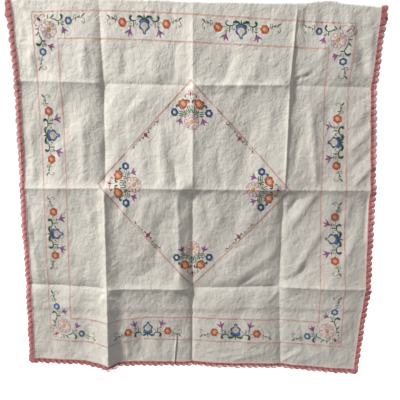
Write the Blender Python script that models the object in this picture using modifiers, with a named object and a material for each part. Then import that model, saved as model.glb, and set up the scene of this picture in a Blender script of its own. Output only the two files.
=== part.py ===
"""Embroidered tablecloth with a crochet edging, hung by its folded top edge.

One square of woven cloth hangs with its top margin folded over a rail or edge that isn't built.
The cloth was put away folded in four each way, and still shows those folds as ridges and troughs.
A band of crochet shells is worked on round the hem in one piece.

Metres, +Z up. The cloth's face looks along -Y and its width runs along X. The origin is where the
middle of the top fold sits on what carries it.
"""
import math
from typing import NamedTuple

import bmesh
import bpy
from mathutils import Vector

# Driving dimensions
CLOTH_WIDTH = 0.959
CLOTH_HEIGHT = 1.055
CLOTH_THICKNESS = 0.0012
EDGING_DEPTH = 0.0125
EDGING_THICKNESS = 0.0024
SHELL_PITCH = 0.017
NOTCH_DEPTH = 0.003
CORNER_SHELLS = 2
FIT_GAP = 0.0003

# The top edge: height of the middle of the cloth's fold above the middle crease, and the bend's radius
HANG_HEIGHT = 0.494
BEND_RADIUS = 0.009
FLARE = 0.007

# A crease is a sharp pressed edge on a broad slope: how far each reaches, and the edge's share
PRESSED_REACH = 0.013
PRESSED_SHARE = 0.55
BROAD_REACH = 0.050
CREST_ROUNDING = 0.0015
TURN_REACH = 0.022
HELD_SHARE = 0.3
HELD_REACH = 0.09

HALF_WIDTH = CLOTH_WIDTH / 2 + EDGING_DEPTH
HALF_HEIGHT = CLOTH_HEIGHT / 2 + EDGING_DEPTH
MILLIMETRE = 0.001


class Line(NamedTuple):
    """A level line across the cloth, with its shifts in mm at the upright lines, left to right."""

    name: str
    height: float
    sideways: tuple
    rise: tuple
    forward: tuple


class Crease(NamedTuple):
    """A fold line with its strength in mm in four stretches: plus is a ridge, minus a trough."""

    name: str
    place: float
    strength: tuple


class Peak(NamedTuple):
    """A place along the top fold, and how far it stands above or below HANG_HEIGHT in mm."""

    place: float
    rise: float


# Upright lines: the two edges, the three upright folds, both feet of the deep fold at the lower left,
# and the middle of the right margin
COLUMNS = (-HALF_WIDTH, -0.32, -0.25, -0.215, 0.0, 0.25, 0.39, HALF_WIDTH)

# Level lines from the bottom up
LINES = (
    Line("bottom edge", -HALF_HEIGHT, (6, 5, 5, 4, -2, 12, 8, -5), (13, 9, 2, 7, 5, 3, -5, -8),
         (2, 6, 20, 0, -4, -6, 0, 4)),
    Line("lower fold", -0.290, (6, 5, 4, 3, -3, -1, 6, 15), (5, 0, -3, -2, -2, 6, 6, 7),
         (2, 4, 9, 0, 2, -2, 1, 4)),
    Line("middle fold", 0.0, (8, 5, 3, 2, -3, -1, -5, 9), (-4, -2, -1, -1, -1, -1, 0, 1),
         (2, 3, 4, 3, 5, 4, 2, 0)),
    Line("upper fold", 0.280, (9, 6, 5, 4, -4, 3, -10, -4), (6, 3, 2, 1, -3, -1, -2, -3),
         (3, 1, -1, 0, 3, 3, 0, -2)),
    Line("top margin", 0.455, (-3, -2, -1, -1, -5, 14, 0, 5), (9, 7, 6, 5, 2, -2, -12, -12),
         (1, 0, 0, 0, 1, 1, 0, -1)),
    Line("top edge", HALF_HEIGHT, (-9, -6, -4, -4, -5, 19, 5, 9), (10, 9, 8, 7, 5, -3, -8, -9),
         (0, 0, 0, 0, 0, 0, 0, 0)),
)

# Upright folds, each in four stretches from the bottom up
UPRIGHT_CREASES = (
    Crease("left quarter", -0.25, (12, 12, -11, -9)),
    Crease("centre", 0.0, (-10, -10, 9, 8)),
    Crease("right quarter", 0.25, (-8, -9, 9, 7)),
)

# Level folds, each in four stretches from left to right
LEVEL_CREASES = (
    Crease("lower", -0.290, (-8, 9, -9, 8)),
    Crease("middle", 0.0, (8, 8, 8, 8)),
    Crease("upper", 0.280, (6, -6, 9, -6)),
)

# The fold over the rail is a little uneven
TOP_FOLD = (
    Peak(-HALF_WIDTH, 1), Peak(-0.455, 5), Peak(-0.25, 7), Peak(-0.09, 4), Peak(0.0, 0),
    Peak(0.25, -3), Peak(0.335, 4), Peak(0.40, -5), Peak(HALF_WIDTH, -12),
)

# Where the mesh lines lie within each panel between two folds
PANEL_SHARES = (0.0, 0.04, 0.12, 0.26, 0.5, 0.74, 0.88, 0.96)
BEND_STEPS = 8
STEPS_IN_SHELL = 3


def smooth(share):
    """Ease a share from 0 to 1, flat at both ends."""
    share = min(1.0, max(0.0, share))
    return share * share * (3.0 - 2.0 * share)


def span(places, at):
    """Find which stretch between rising places holds a value, and how far along it lies."""
    index = 0
    while index < len(places) - 2 and at > places[index + 1]:
        index += 1
    return index, (at - places[index]) / (places[index + 1] - places[index])


def between(places, values, at):
    """Read a value on straight lines between places."""
    index, share = span(places, at)
    return values[index] + (values[index + 1] - values[index]) * share


def shift(column, across, up):
    """A shift from the table of level lines, in metres."""
    heights = [line.height for line in LINES]
    at_lines = [between(COLUMNS, getattr(line, column), across) for line in LINES]
    return between(heights, at_lines, up) * MILLIMETRE


def strength(crease, crossings, along):
    """A crease's strength, which turns from ridge to trough where other folds cross it."""
    value = crease.strength[0]
    for crossing, before, after in zip(crossings, crease.strength, crease.strength[1:]):
        turned = smooth((along - crossing + TURN_REACH) / (2 * TURN_REACH))
        value += (after - before) * turned
    return value * MILLIMETRE


def slope_off(distance):
    """A crease's height beside its crest, as a share of the crest's own."""
    rounded = math.hypot(distance, CREST_ROUNDING) - CREST_ROUNDING
    pressed = PRESSED_SHARE * math.exp(-rounded / PRESSED_REACH)
    return pressed + (1.0 - PRESSED_SHARE) * math.exp(-rounded / BROAD_REACH)


def places(rows):
    """The places in a table's rows."""
    return [row.place for row in rows]


def relief(across, up):
    """How far the cloth's face stands forward of a flat sheet, in metres."""
    height = shift("forward", across, up)
    for crease in UPRIGHT_CREASES:
        height += strength(crease, places(LEVEL_CREASES), up) * slope_off(across - crease.place)
    for crease in LEVEL_CREASES:
        height += strength(crease, places(UPRIGHT_CREASES), across) * slope_off(up - crease.place)
    held = smooth((HANG_HEIGHT - up) / HELD_REACH)
    return height * (HELD_SHARE + (1.0 - HELD_SHARE) * held)


def bend_start(across):
    """Height at which the cloth starts to turn over the rail."""
    rises = [peak.rise for peak in TOP_FOLD]
    top = HANG_HEIGHT + between(places(TOP_FOLD), rises, across) * MILLIMETRE
    return top - BEND_RADIUS - CLOTH_THICKNESS / 2


def hang(across, up):
    """Place a point of the flat cloth on the hung one."""
    past = up + shift("rise", across, up) - bend_start(across)
    turned = min(max(past / BEND_RADIUS, 0.0), math.pi)
    beyond = max(past - math.pi * BEND_RADIUS, 0.0)
    depth = -BEND_RADIUS * math.cos(turned)
    height = bend_start(across) + min(past, 0.0) + BEND_RADIUS * math.sin(turned) - beyond
    face = Vector((0.0, -math.cos(turned), math.sin(turned)))
    spread = FLARE * smooth(turned / math.pi) * across / HALF_WIDTH
    level = height - HANG_HEIGHT + CLOTH_THICKNESS
    place = Vector((across + shift("sideways", across, up) + spread, depth, level))
    return place + face * relief(across, up)


def panel_stations(lines):
    """Mesh lines across a row of panels, close together beside each fold."""
    stations = []
    for start, end in zip(lines, lines[1:]):
        stations += [start + (end - start) * share for share in PANEL_SHARES]
    return stations + [lines[-1]]


def cloth_heights():
    """Mesh lines from the bottom hem up, over the bend and down the flap behind."""
    bend_length = math.pi * BEND_RADIUS
    bend = HANG_HEIGHT - BEND_RADIUS - CLOTH_THICKNESS
    front = panel_stations([-CLOTH_HEIGHT / 2] + places(LEVEL_CREASES) + [bend])
    over = [bend + bend_length * step / BEND_STEPS for step in range(1, BEND_STEPS + 1)]
    return front + over + [CLOTH_HEIGHT / 2]


def principled(name, color, roughness):
    """A plain material in the part's colour."""
    material = bpy.data.materials.new(name)
    material.use_nodes = True
    shader = material.node_tree.nodes["Principled BSDF"]
    shader.inputs["Base Color"].default_value = color
    shader.inputs["Roughness"].default_value = roughness
    return material


def finish_sheet(name, mesh_data, thickness, material, collection):
    """Turn an open surface into a named sheet with its thickness and material."""
    mesh = bpy.data.meshes.new(name)
    mesh_data.to_mesh(mesh)
    mesh_data.free()
    mesh.materials.append(material)
    mesh.shade_smooth()
    sheet = bpy.data.objects.new(name, mesh)
    collection.objects.link(sheet)
    solidify = sheet.modifiers.new("Thickness", "SOLIDIFY")
    solidify.thickness = thickness
    solidify.offset = 0.0
    return sheet


def make_cloth(collection):
    """The one piece of hemmed cloth, front, bend and back flap."""
    side = CLOTH_WIDTH / 2
    columns = panel_stations([-side] + places(UPRIGHT_CREASES) + [side])
    extra = {*COLUMNS, *places(TOP_FOLD)} - set(columns)
    columns = sorted(columns + [place for place in extra if -side < place < side])
    rows = cloth_heights()
    data = bmesh.new()
    bmesh.ops.create_grid(data, x_segments=len(columns) - 1, y_segments=len(rows) - 1, size=1.0)
    for vert in data.verts:
        column = round((vert.co.x + 1.0) / 2.0 * (len(columns) - 1))
        row = round((vert.co.y + 1.0) / 2.0 * (len(rows) - 1))
        vert.co = hang(columns[column], rows[row])
    cotton = principled("undyed_cotton_cloth", (0.80, 0.76, 0.66, 1.0), 0.9)
    return finish_sheet("cloth", data, CLOTH_THICKNESS, cotton, collection)


def edging_stops():
    """Walk round the hem: for each step a point on it, the way out, and the edging's reach there."""
    side, top = CLOTH_WIDTH / 2, CLOTH_HEIGHT / 2
    corners = ((-side, -top), (side, -top), (side, top), (-side, top))
    stops = []
    for number, corner in enumerate(corners):
        following = corners[(number + 1) % len(corners)]
        length = math.dist(corner, following)
        heading = math.pi / 2 * number
        outward = heading - math.pi / 2
        steps = round(length / SHELL_PITCH) * STEPS_IN_SHELL
        for step in range(steps):
            share = step / steps
            hem = [start + (end - start) * share for start, end in zip(corner, following)]
            stops.append((hem, outward, shell_reach(step)))
        for step in range(CORNER_SHELLS * STEPS_IN_SHELL):
            turn = math.pi / 2 * step / (CORNER_SHELLS * STEPS_IN_SHELL)
            stops.append((following, outward + turn, shell_reach(step)))
    return stops


def shell_reach(step):
    """Depth of the edging at a step: a notch between two shells, or a shell's crown."""
    at_notch = step % STEPS_IN_SHELL == 0
    return EDGING_DEPTH - NOTCH_DEPTH if at_notch else EDGING_DEPTH


def make_edging(collection):
    """The crochet edging: one closed band of shells round the hem."""
    stops = edging_stops()
    data = bmesh.new()
    bmesh.ops.create_circle(data, segments=len(stops), radius=1.0)
    inner = list(data.verts)
    grown = bmesh.ops.extrude_edge_only(data, edges=list(data.edges))
    outer = [item for item in grown["geom"] if isinstance(item, bmesh.types.BMVert)]
    for ring, is_outer in ((inner, False), (outer, True)):
        for vert in ring:
            around = math.atan2(-vert.co.x, vert.co.y) / (2 * math.pi) % 1.0
            hem, outward, reach = stops[round(around * len(stops)) % len(stops)]
            out = reach if is_outer else FIT_GAP
            vert.co = hang(hem[0] + out * math.cos(outward), hem[1] + out * math.sin(outward))
    yarn = principled("rose_crochet_cotton", (0.62, 0.17, 0.19, 1.0), 0.85)
    return finish_sheet("crochet_edging", data, EDGING_THICKNESS, yarn, collection)


def main():
    """Clear the scene and build the tablecloth."""
    for item in list(bpy.data.objects):
        bpy.data.objects.remove(item, do_unlink=True)
    collection = bpy.data.collections.new("embroidered_tablecloth")
    bpy.context.scene.collection.children.link(collection)
    make_cloth(collection)
    make_edging(collection)


main()
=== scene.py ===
"""Dresses the hung embroidered tablecloth: woven cotton, crochet edging, stitched flowers and studio.

All stitching is laid out on the flat cloth in millimetres and then carried on to the hung form, so it
follows every fold. Sizes are in metres unless a name says millimetres.
"""
import logging
import math
from collections import defaultdict
from dataclasses import dataclass, field
from enum import Enum
from typing import NamedTuple, Sequence

import bpy
import numpy as np
from mathutils import Euler, Matrix, Vector

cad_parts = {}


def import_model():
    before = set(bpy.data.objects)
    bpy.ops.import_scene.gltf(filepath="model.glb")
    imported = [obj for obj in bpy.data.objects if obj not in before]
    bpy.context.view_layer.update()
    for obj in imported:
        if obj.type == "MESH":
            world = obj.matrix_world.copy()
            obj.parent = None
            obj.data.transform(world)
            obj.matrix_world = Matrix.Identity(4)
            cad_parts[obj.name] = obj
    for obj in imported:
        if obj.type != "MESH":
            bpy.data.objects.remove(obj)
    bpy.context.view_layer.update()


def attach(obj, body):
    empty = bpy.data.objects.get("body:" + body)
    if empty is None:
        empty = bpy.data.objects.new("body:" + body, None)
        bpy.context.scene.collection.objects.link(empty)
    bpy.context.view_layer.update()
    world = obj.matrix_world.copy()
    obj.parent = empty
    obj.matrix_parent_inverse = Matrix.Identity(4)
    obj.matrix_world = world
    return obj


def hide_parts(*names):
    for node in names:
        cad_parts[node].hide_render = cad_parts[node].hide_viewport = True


LOG = logging.getLogger("tablecloth")
MILLIMETRE = 0.001
FLAT_UV = "Flat"
GIRTH = "girth"
ALONG = "along"
RISE = "rise"

Array = np.ndarray
Point = tuple[float, float]
Rows = tuple[tuple, ...]


class Line(NamedTuple):
    """A level line across the cloth, with its shifts in mm at the upright lines, left to right."""

    height: float
    sideways: tuple[float, ...]
    rise: tuple[float, ...]
    forward: tuple[float, ...]


class Crease(NamedTuple):
    """A fold line with its strength in mm in four stretches: plus is a ridge, minus a trough."""

    place: float
    strength: tuple[float, ...]


class Peak(NamedTuple):
    """A place along the top fold, and how far it stands above or below the hanging height in mm."""

    place: float
    rise: float


class Drift(NamedTuple):
    """How far the stitched design lies off its true place along a level line, in mm, left to right."""

    height: float
    across: tuple[float, ...]
    up: tuple[float, ...]


class Wrinkle(NamedTuple):
    """A small ridge (or trough, if negative) between two places on the flat cloth, all in mm."""

    across: float
    up: float
    to_across: float
    to_up: float
    height: float
    width: float


# Between the edges and the three folds lie both feet of the deep fold at the lower left and the
# middle of the right margin
COLUMNS = (-0.492, -0.32, -0.25, -0.215, 0.0, 0.25, 0.39, 0.492)

LINES = (
    Line(-0.540, (6, 5, 5, 4, -2, 12, 8, -5), (13, 9, 2, 7, 5, 3, -5, -8), (2, 6, 20, 0, -4, -6, 0, 4)),
    Line(-0.290, (6, 5, 4, 3, -3, -1, 6, 15), (5, 0, -3, -2, -2, 6, 6, 7), (2, 4, 9, 0, 2, -2, 1, 4)),
    Line(0.0, (8, 5, 3, 2, -3, -1, -5, 9), (-4, -2, -1, -1, -1, -1, 0, 1), (2, 3, 4, 3, 5, 4, 2, 0)),
    Line(0.280, (9, 6, 5, 4, -4, 3, -10, -4), (6, 3, 2, 1, -3, -1, -2, -3), (3, 1, -1, 0, 3, 3, 0, -2)),
    Line(0.455, (-3, -2, -1, -1, -5, 14, 0, 5), (9, 7, 6, 5, 2, -2, -12, -12), (1, 0, 0, 0, 1, 1, 0, -1)),
    Line(0.540, (-9, -6, -4, -4, -5, 19, 5, 9), (10, 9, 8, 7, 5, -3, -8, -9), (0, 0, 0, 0, 0, 0, 0, 0)),
)

UPRIGHT_CREASES = (
    Crease(-0.25, (12, 12, -11, -9)),
    Crease(0.0, (-8, -10, 9, 8)),
    Crease(0.25, (-8, -9, 6, 2)),
)

LEVEL_CREASES = (
    Crease(-0.290, (-8, 9, -9, 8)),
    Crease(0.0, (8, 8, 8, 8)),
    Crease(0.280, (6, -6, 9, -6)),
)

TOP_FOLD = (
    Peak(-0.492, 1), Peak(-0.455, 5), Peak(-0.25, 7), Peak(-0.09, 4), Peak(0.0, 0),
    Peak(0.25, -3), Peak(0.335, 4), Peak(0.40, -5), Peak(0.492, -12),
)

# The design was stamped on the cloth by hand, and lies a few millimetres askew
DRIFT_COLUMNS = (-0.42, -0.25, -0.12, 0.0, 0.25, 0.42)

DRIFTS = (
    Drift(-0.45, (-2, -6, -8, -6, -3, 5), (-12, -13, 0, -4, -8, -8)),
    Drift(-0.25, (-4, -3, 0, 1, 0, 0), (2, 0, 6, 12, -4, -8)),
    Drift(0.0, (0, 4, 4, 2, -8, -3), (5, 13, 10, 6, -1, -5)),
    Drift(0.25, (-6, -6, -6, -6, -7, -3), (5, 6, 4, 1, -5, -5)),
    Drift(0.45, (-4, -2, -3, -4, -14, -1), (2, 9, 8, 4, -6, -2)),
)

# Small wrinkles, listed panel by panel from the top left: ripples, pinches where folds cross,
# the pleat by the bottom hem and the ruffles under the top fold
WRINKLES = [Wrinkle(*row) for row in (
    (-294, 386, -301, 292, 3.9, 14), (-439, 357, -441, 289, 3.3, 10), (-446, 461, -445, 378, -2.7, 13),
    (-354, 375, -351, 291, -2.1, 13), (-184, 380, -191, 294, -4.2, 16), (-108, 373, -100, 288, 3.3, 14),
    (-46, 388, -53, 290, -2.4, 12), (101, 366, 78, 283, -4.2, 9), (172, 371, 152, 292, 3, 16),
    (57, 290, 60, 249, -3, 5), (85, 289, 86, 247, 2.2, 5), (111, 293, 112, 251, -2.6, 5),
    (134, 294, 133, 251, 2.4, 5), (167, 292, 167, 255, -2.4, 6), (198, 291, 200, 259, 1.6, 6),
    (254, 291, 316, 312, -1.8, 4), (257, 301, 322, 327, 1.8, 6), (293, 302, 342, 346, -1.8, 6),
    (420, 448, 455, 318, -4.8, 18), (460, 428, 470, 308, 3, 12), (342, 424, 335, 314, 2.7, 15),
    (-308, 176, -310, 13, 4.8, 14), (-451, 158, -450, 11, 3, 12), (-359, 238, -345, 154, -2.4, 13),
    (-379, 127, -372, 22, 2.2, 14), (-139, 245, -179, 196, 3.3, 9), (-92, 173, -77, 3, 6.9, 19),
    (-54, 79, -45, 3, -4.8, 13), (-193, 181, -190, 23, -2.4, 15), (-149, 101, -133, 7, 2.7, 14),
    (65, 105, 80, 3, -3.6, 9), (60, 246, 71, 199, 2, 7), (103, 206, 78, 126, 2.7, 12),
    (156, 181, 139, 49, -3, 15), (207, 236, 195, 129, 2.7, 13), (117, 75, 96, 6, 3, 9),
    (186, 103, 179, 12, 2.7, 12), (315, 218, 340, 9, 6.3, 12), (363, 230, 384, 107, -3, 14),
    (481, 233, 425, 167, 2.2, 7), (485, 179, 422, 102, 3.6, 8), (486, 119, 429, 48, -3.3, 8),
    (489, 76, 435, 10, 3.3, 8), (285, 158, 275, 51, -2.7, 10), (-467, -54, -455, -156, -3, 10),
    (-461, -168, -454, -264, 3, 10), (-311, -22, -290, -98, 2.7, 9), (-277, -33, -268, -151, -2.1, 9),
    (-349, -124, -336, -248, -2.4, 16), (-305, -206, -324, -260, -3, 8), (-43, -12, -35, -289, 5.1, 15),
    (-128, -22, -152, -112, 3.6, 12), (-185, -33, -215, -110, 2.7, 11), (-94, -77, -108, -220, -3, 16),
    (-200, -217, -136, -184, 2.7, 10), (-166, -260, -102, -220, -2.7, 10), (58, -11, 81, -95, 3.6, 8),
    (30, -18, 48, -114, -2.7, 9), (130, -46, 115, -142, -3.9, 12), (222, -121, 94, -220, 2.4, 13),
    (238, -179, 112, -273, 2.4, 12), (180, -22, 159, -99, 3, 11), (214, -233, 135, -284, -3, 8),
    (341, -8, 275, -102, 4.6, 11), (355, -119, 288, -249, 4.6, 12), (294, -20, 264, -67, -3.3, 8),
    (451, -119, 417, -219, 3.2, 9), (431, -30, 418, -107, 3.3, 9), (473, -18, 468, -148, -3.6, 9),
    (327, -214, 282, -278, -2.8, 9), (-488, -357, -252, -351, 1.7, 6), (-252, -351, -2, -355, 1.6, 6),
    (-2, -352, 251, -352, 1.5, 6), (251, -352, 488, -345, 1.8, 6), (-489, -376, 491, -364, -1.4, 9),
    (253, -293, 285, -325, -2.8, 6), (247, -303, 215, -337, 2, 6), (257, -275, 286, -258, -2.4, 6),
    (-261, -311, -270, -341, 2.6, 5), (-255, -299, -279, -323, -2, 5), (-243, -316, -202, -341, 1.8, 7),
    (-46.5, -442, -55.5, -546, 3.4, 2), (-43.6, -442, -52.6, -546, -3.2, 2), (-74, -467, -80, -529, 2, 8),
    (250.5, 500, 250.5, 286, 2.5, 4), (0, -286, 0, -548, -2, 4), (250.5, 274, 250.5, 10, 2, 4),
    (-317, -427, -263, -510, -3, 10), (-366, -443, -325, -517, 3, 10), (-426, -430, -417, -522, -2.4, 12),
    (-209, -417, -191, -517, 3.3, 10), (-155, -405, -144, -514, -2.7, 12),
    (-111, -421, -102, -516, 2.7, 12), (61, -510, 167, -486, 1.5, 5), (89, -524, 201, -490, 1.5, 5),
    (44, -489, 134, -473, 1.3, 5), (111, -494, 224, -468, -1.3, 6), (254, -517, 311, -479, 2, 5),
    (264, -497, 298, -470, -1.6, 5), (309, -514, 371, -479, 1.6, 6), (305, -367, 327, -487, -2.7, 14),
    (368, -378, 403, -490, 2.7, 13), (152, -370, 162, -473, 2.4, 15), (63, -378, 72, -456, -2.1, 13),
    (-444, 477, -439, 430, 3, 11), (-397, 478, -391, 436, -2.7, 10), (-350, 477, -343, 438, 2.4, 10),
    (-303, 478, -300, 444, -2.4, 9), (-213, 478, -216, 439, 2.4, 9), (-155, 480, -152, 438, -2.2, 9),
    (-108, 479, -109, 432, 2.4, 8), (-55, 481, -56, 436, -2.2, 9), (31, 481, 31, 436, 2.4, 8),
    (78, 479, 82, 432, -2.4, 9), (131, 478, 133, 439, 2.2, 8), (188, 477, 191, 435, -2.4, 9),
    (276, 480, 278, 422, -3.6, 8), (302, 488, 308, 418, 4.2, 8), (325, 492, 334, 424, -2.6, 7),
    (350, 487, 361, 425, 3, 7), (375, 483, 387, 431, -2.8, 7), (396, 481, 415, 421, 4.2, 8),
    (426, 479, 446, 417, -3.3, 9),
)]


def ease(share: Array) -> Array:
    """Ease shares from 0 to 1, flat at both ends."""
    share = np.clip(share, 0.0, 1.0)
    return share * share * (3.0 - 2.0 * share)


def read_table(lines: Sequence[Line | Drift], columns: Sequence[float], name: str, across: Array,
               up: Array) -> Array:
    """Read a shift between the level lines of a table.

    Args:
        lines: the table's rows, from the bottom up.
        columns: the upright lines that its values belong to.
        name: which of the rows' shifts to read.
        across: places along the width.
        up: places along the height.

    Returns:
        The shift at each place, in metres.
    """
    heights = np.array([line.height for line in lines])
    values = np.stack([np.interp(across, columns, getattr(line, name)) for line in lines])
    above = np.clip(np.searchsorted(heights, up), 1, len(lines) - 1)
    share = np.clip((up - heights[above - 1]) / (heights[above] - heights[above - 1]), 0.0, 1.0)
    index = np.arange(len(up))
    low, high = values[above - 1, index], values[above, index]
    return (low + (high - low) * share) * MILLIMETRE


def linear_colour(code: str) -> tuple[float, float, float, float]:
    """Turn an sRGB hex colour into the linear colour that shaders take.

    Args:
        code: six hex digits after a hash sign.

    Returns:
        Red, green, blue and an alpha of one.
    """
    parts = [int(code[place:place + 2], 16) / 255 for place in (1, 3, 5)]
    linear = [part / 12.92 if part <= 0.04045 else ((part + 0.055) / 1.055) ** 2.4 for part in parts]
    return linear[0], linear[1], linear[2], 1.0


def add_node(tree: bpy.types.NodeTree, kind: str, settings: dict | None = None,
             links: dict | None = None) -> bpy.types.Node:
    """Add a node with its settings and links.

    Args:
        tree: the shader or geometry tree that gets the node.
        kind: the node's type name.
        settings: attribute names or input names with their values.
        links: input names with the output sockets that feed them.

    Returns:
        The new node.
    """
    node = tree.nodes.new(kind)
    for name, value in (settings or {}).items():
        if isinstance(name, int) or name in node.inputs:
            node.inputs[name].default_value = value
        else:
            setattr(node, name, value)
    for name, source in (links or {}).items():
        tree.links.new(source, node.inputs[name])
    return node


def new_finish(name: str, roughness: float,
               sheen: float = 0.0) -> tuple[bpy.types.Material, bpy.types.NodeTree, bpy.types.Node]:
    """Start a material.

    Args:
        name: the finish that it shows.
        roughness: from a mirror at 0 to fully matt at 1.
        sheen: how much light the loose fibres catch at a low angle.

    Returns:
        The material, its node tree and its shader.
    """
    material = bpy.data.materials.new(name)
    material.use_nodes = True
    shader = material.node_tree.nodes["Principled BSDF"]
    shader.inputs["Roughness"].default_value = roughness
    shader.inputs["Sheen Weight"].default_value = sheen
    return material, material.node_tree, shader


class Floss(Enum):
    """The embroidery threads, each with a slot name and its colour."""

    CORAL = ("floss_coral", "#DC9C8E")
    BLUE = ("floss_blue", "#4E78AC")
    NAVY = ("floss_blue", "#2E5480")
    ORANGE = ("floss_orange", "#DC7046")
    RUST = ("floss_orange", "#C2542E")
    PEACH = ("floss_orange", "#EFC09A")
    PURPLE = ("floss_purple", "#AE66A2")
    PLUM = ("floss_purple", "#8C5092")
    MAGENTA = ("floss_purple", "#A8325C")
    GREEN = ("floss_green", "#1F4629")
    MOSS = ("floss_green", "#4F6E4A")
    OLIVE = ("floss_green", "#66754E")
    CREAM = ("floss_rose", "#F8EEE4")
    ROSE = ("floss_rose", "#F7E6E2")
    BLUSH = ("floss_rose", "#D08A90")
    GOLD = ("floss_rose", "#E0BA78")

    def __init__(self, slot: str, colour: str) -> None:
        """Keep the slot and the colour under their names."""
        self.slot = slot
        self.colour = colour


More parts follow.
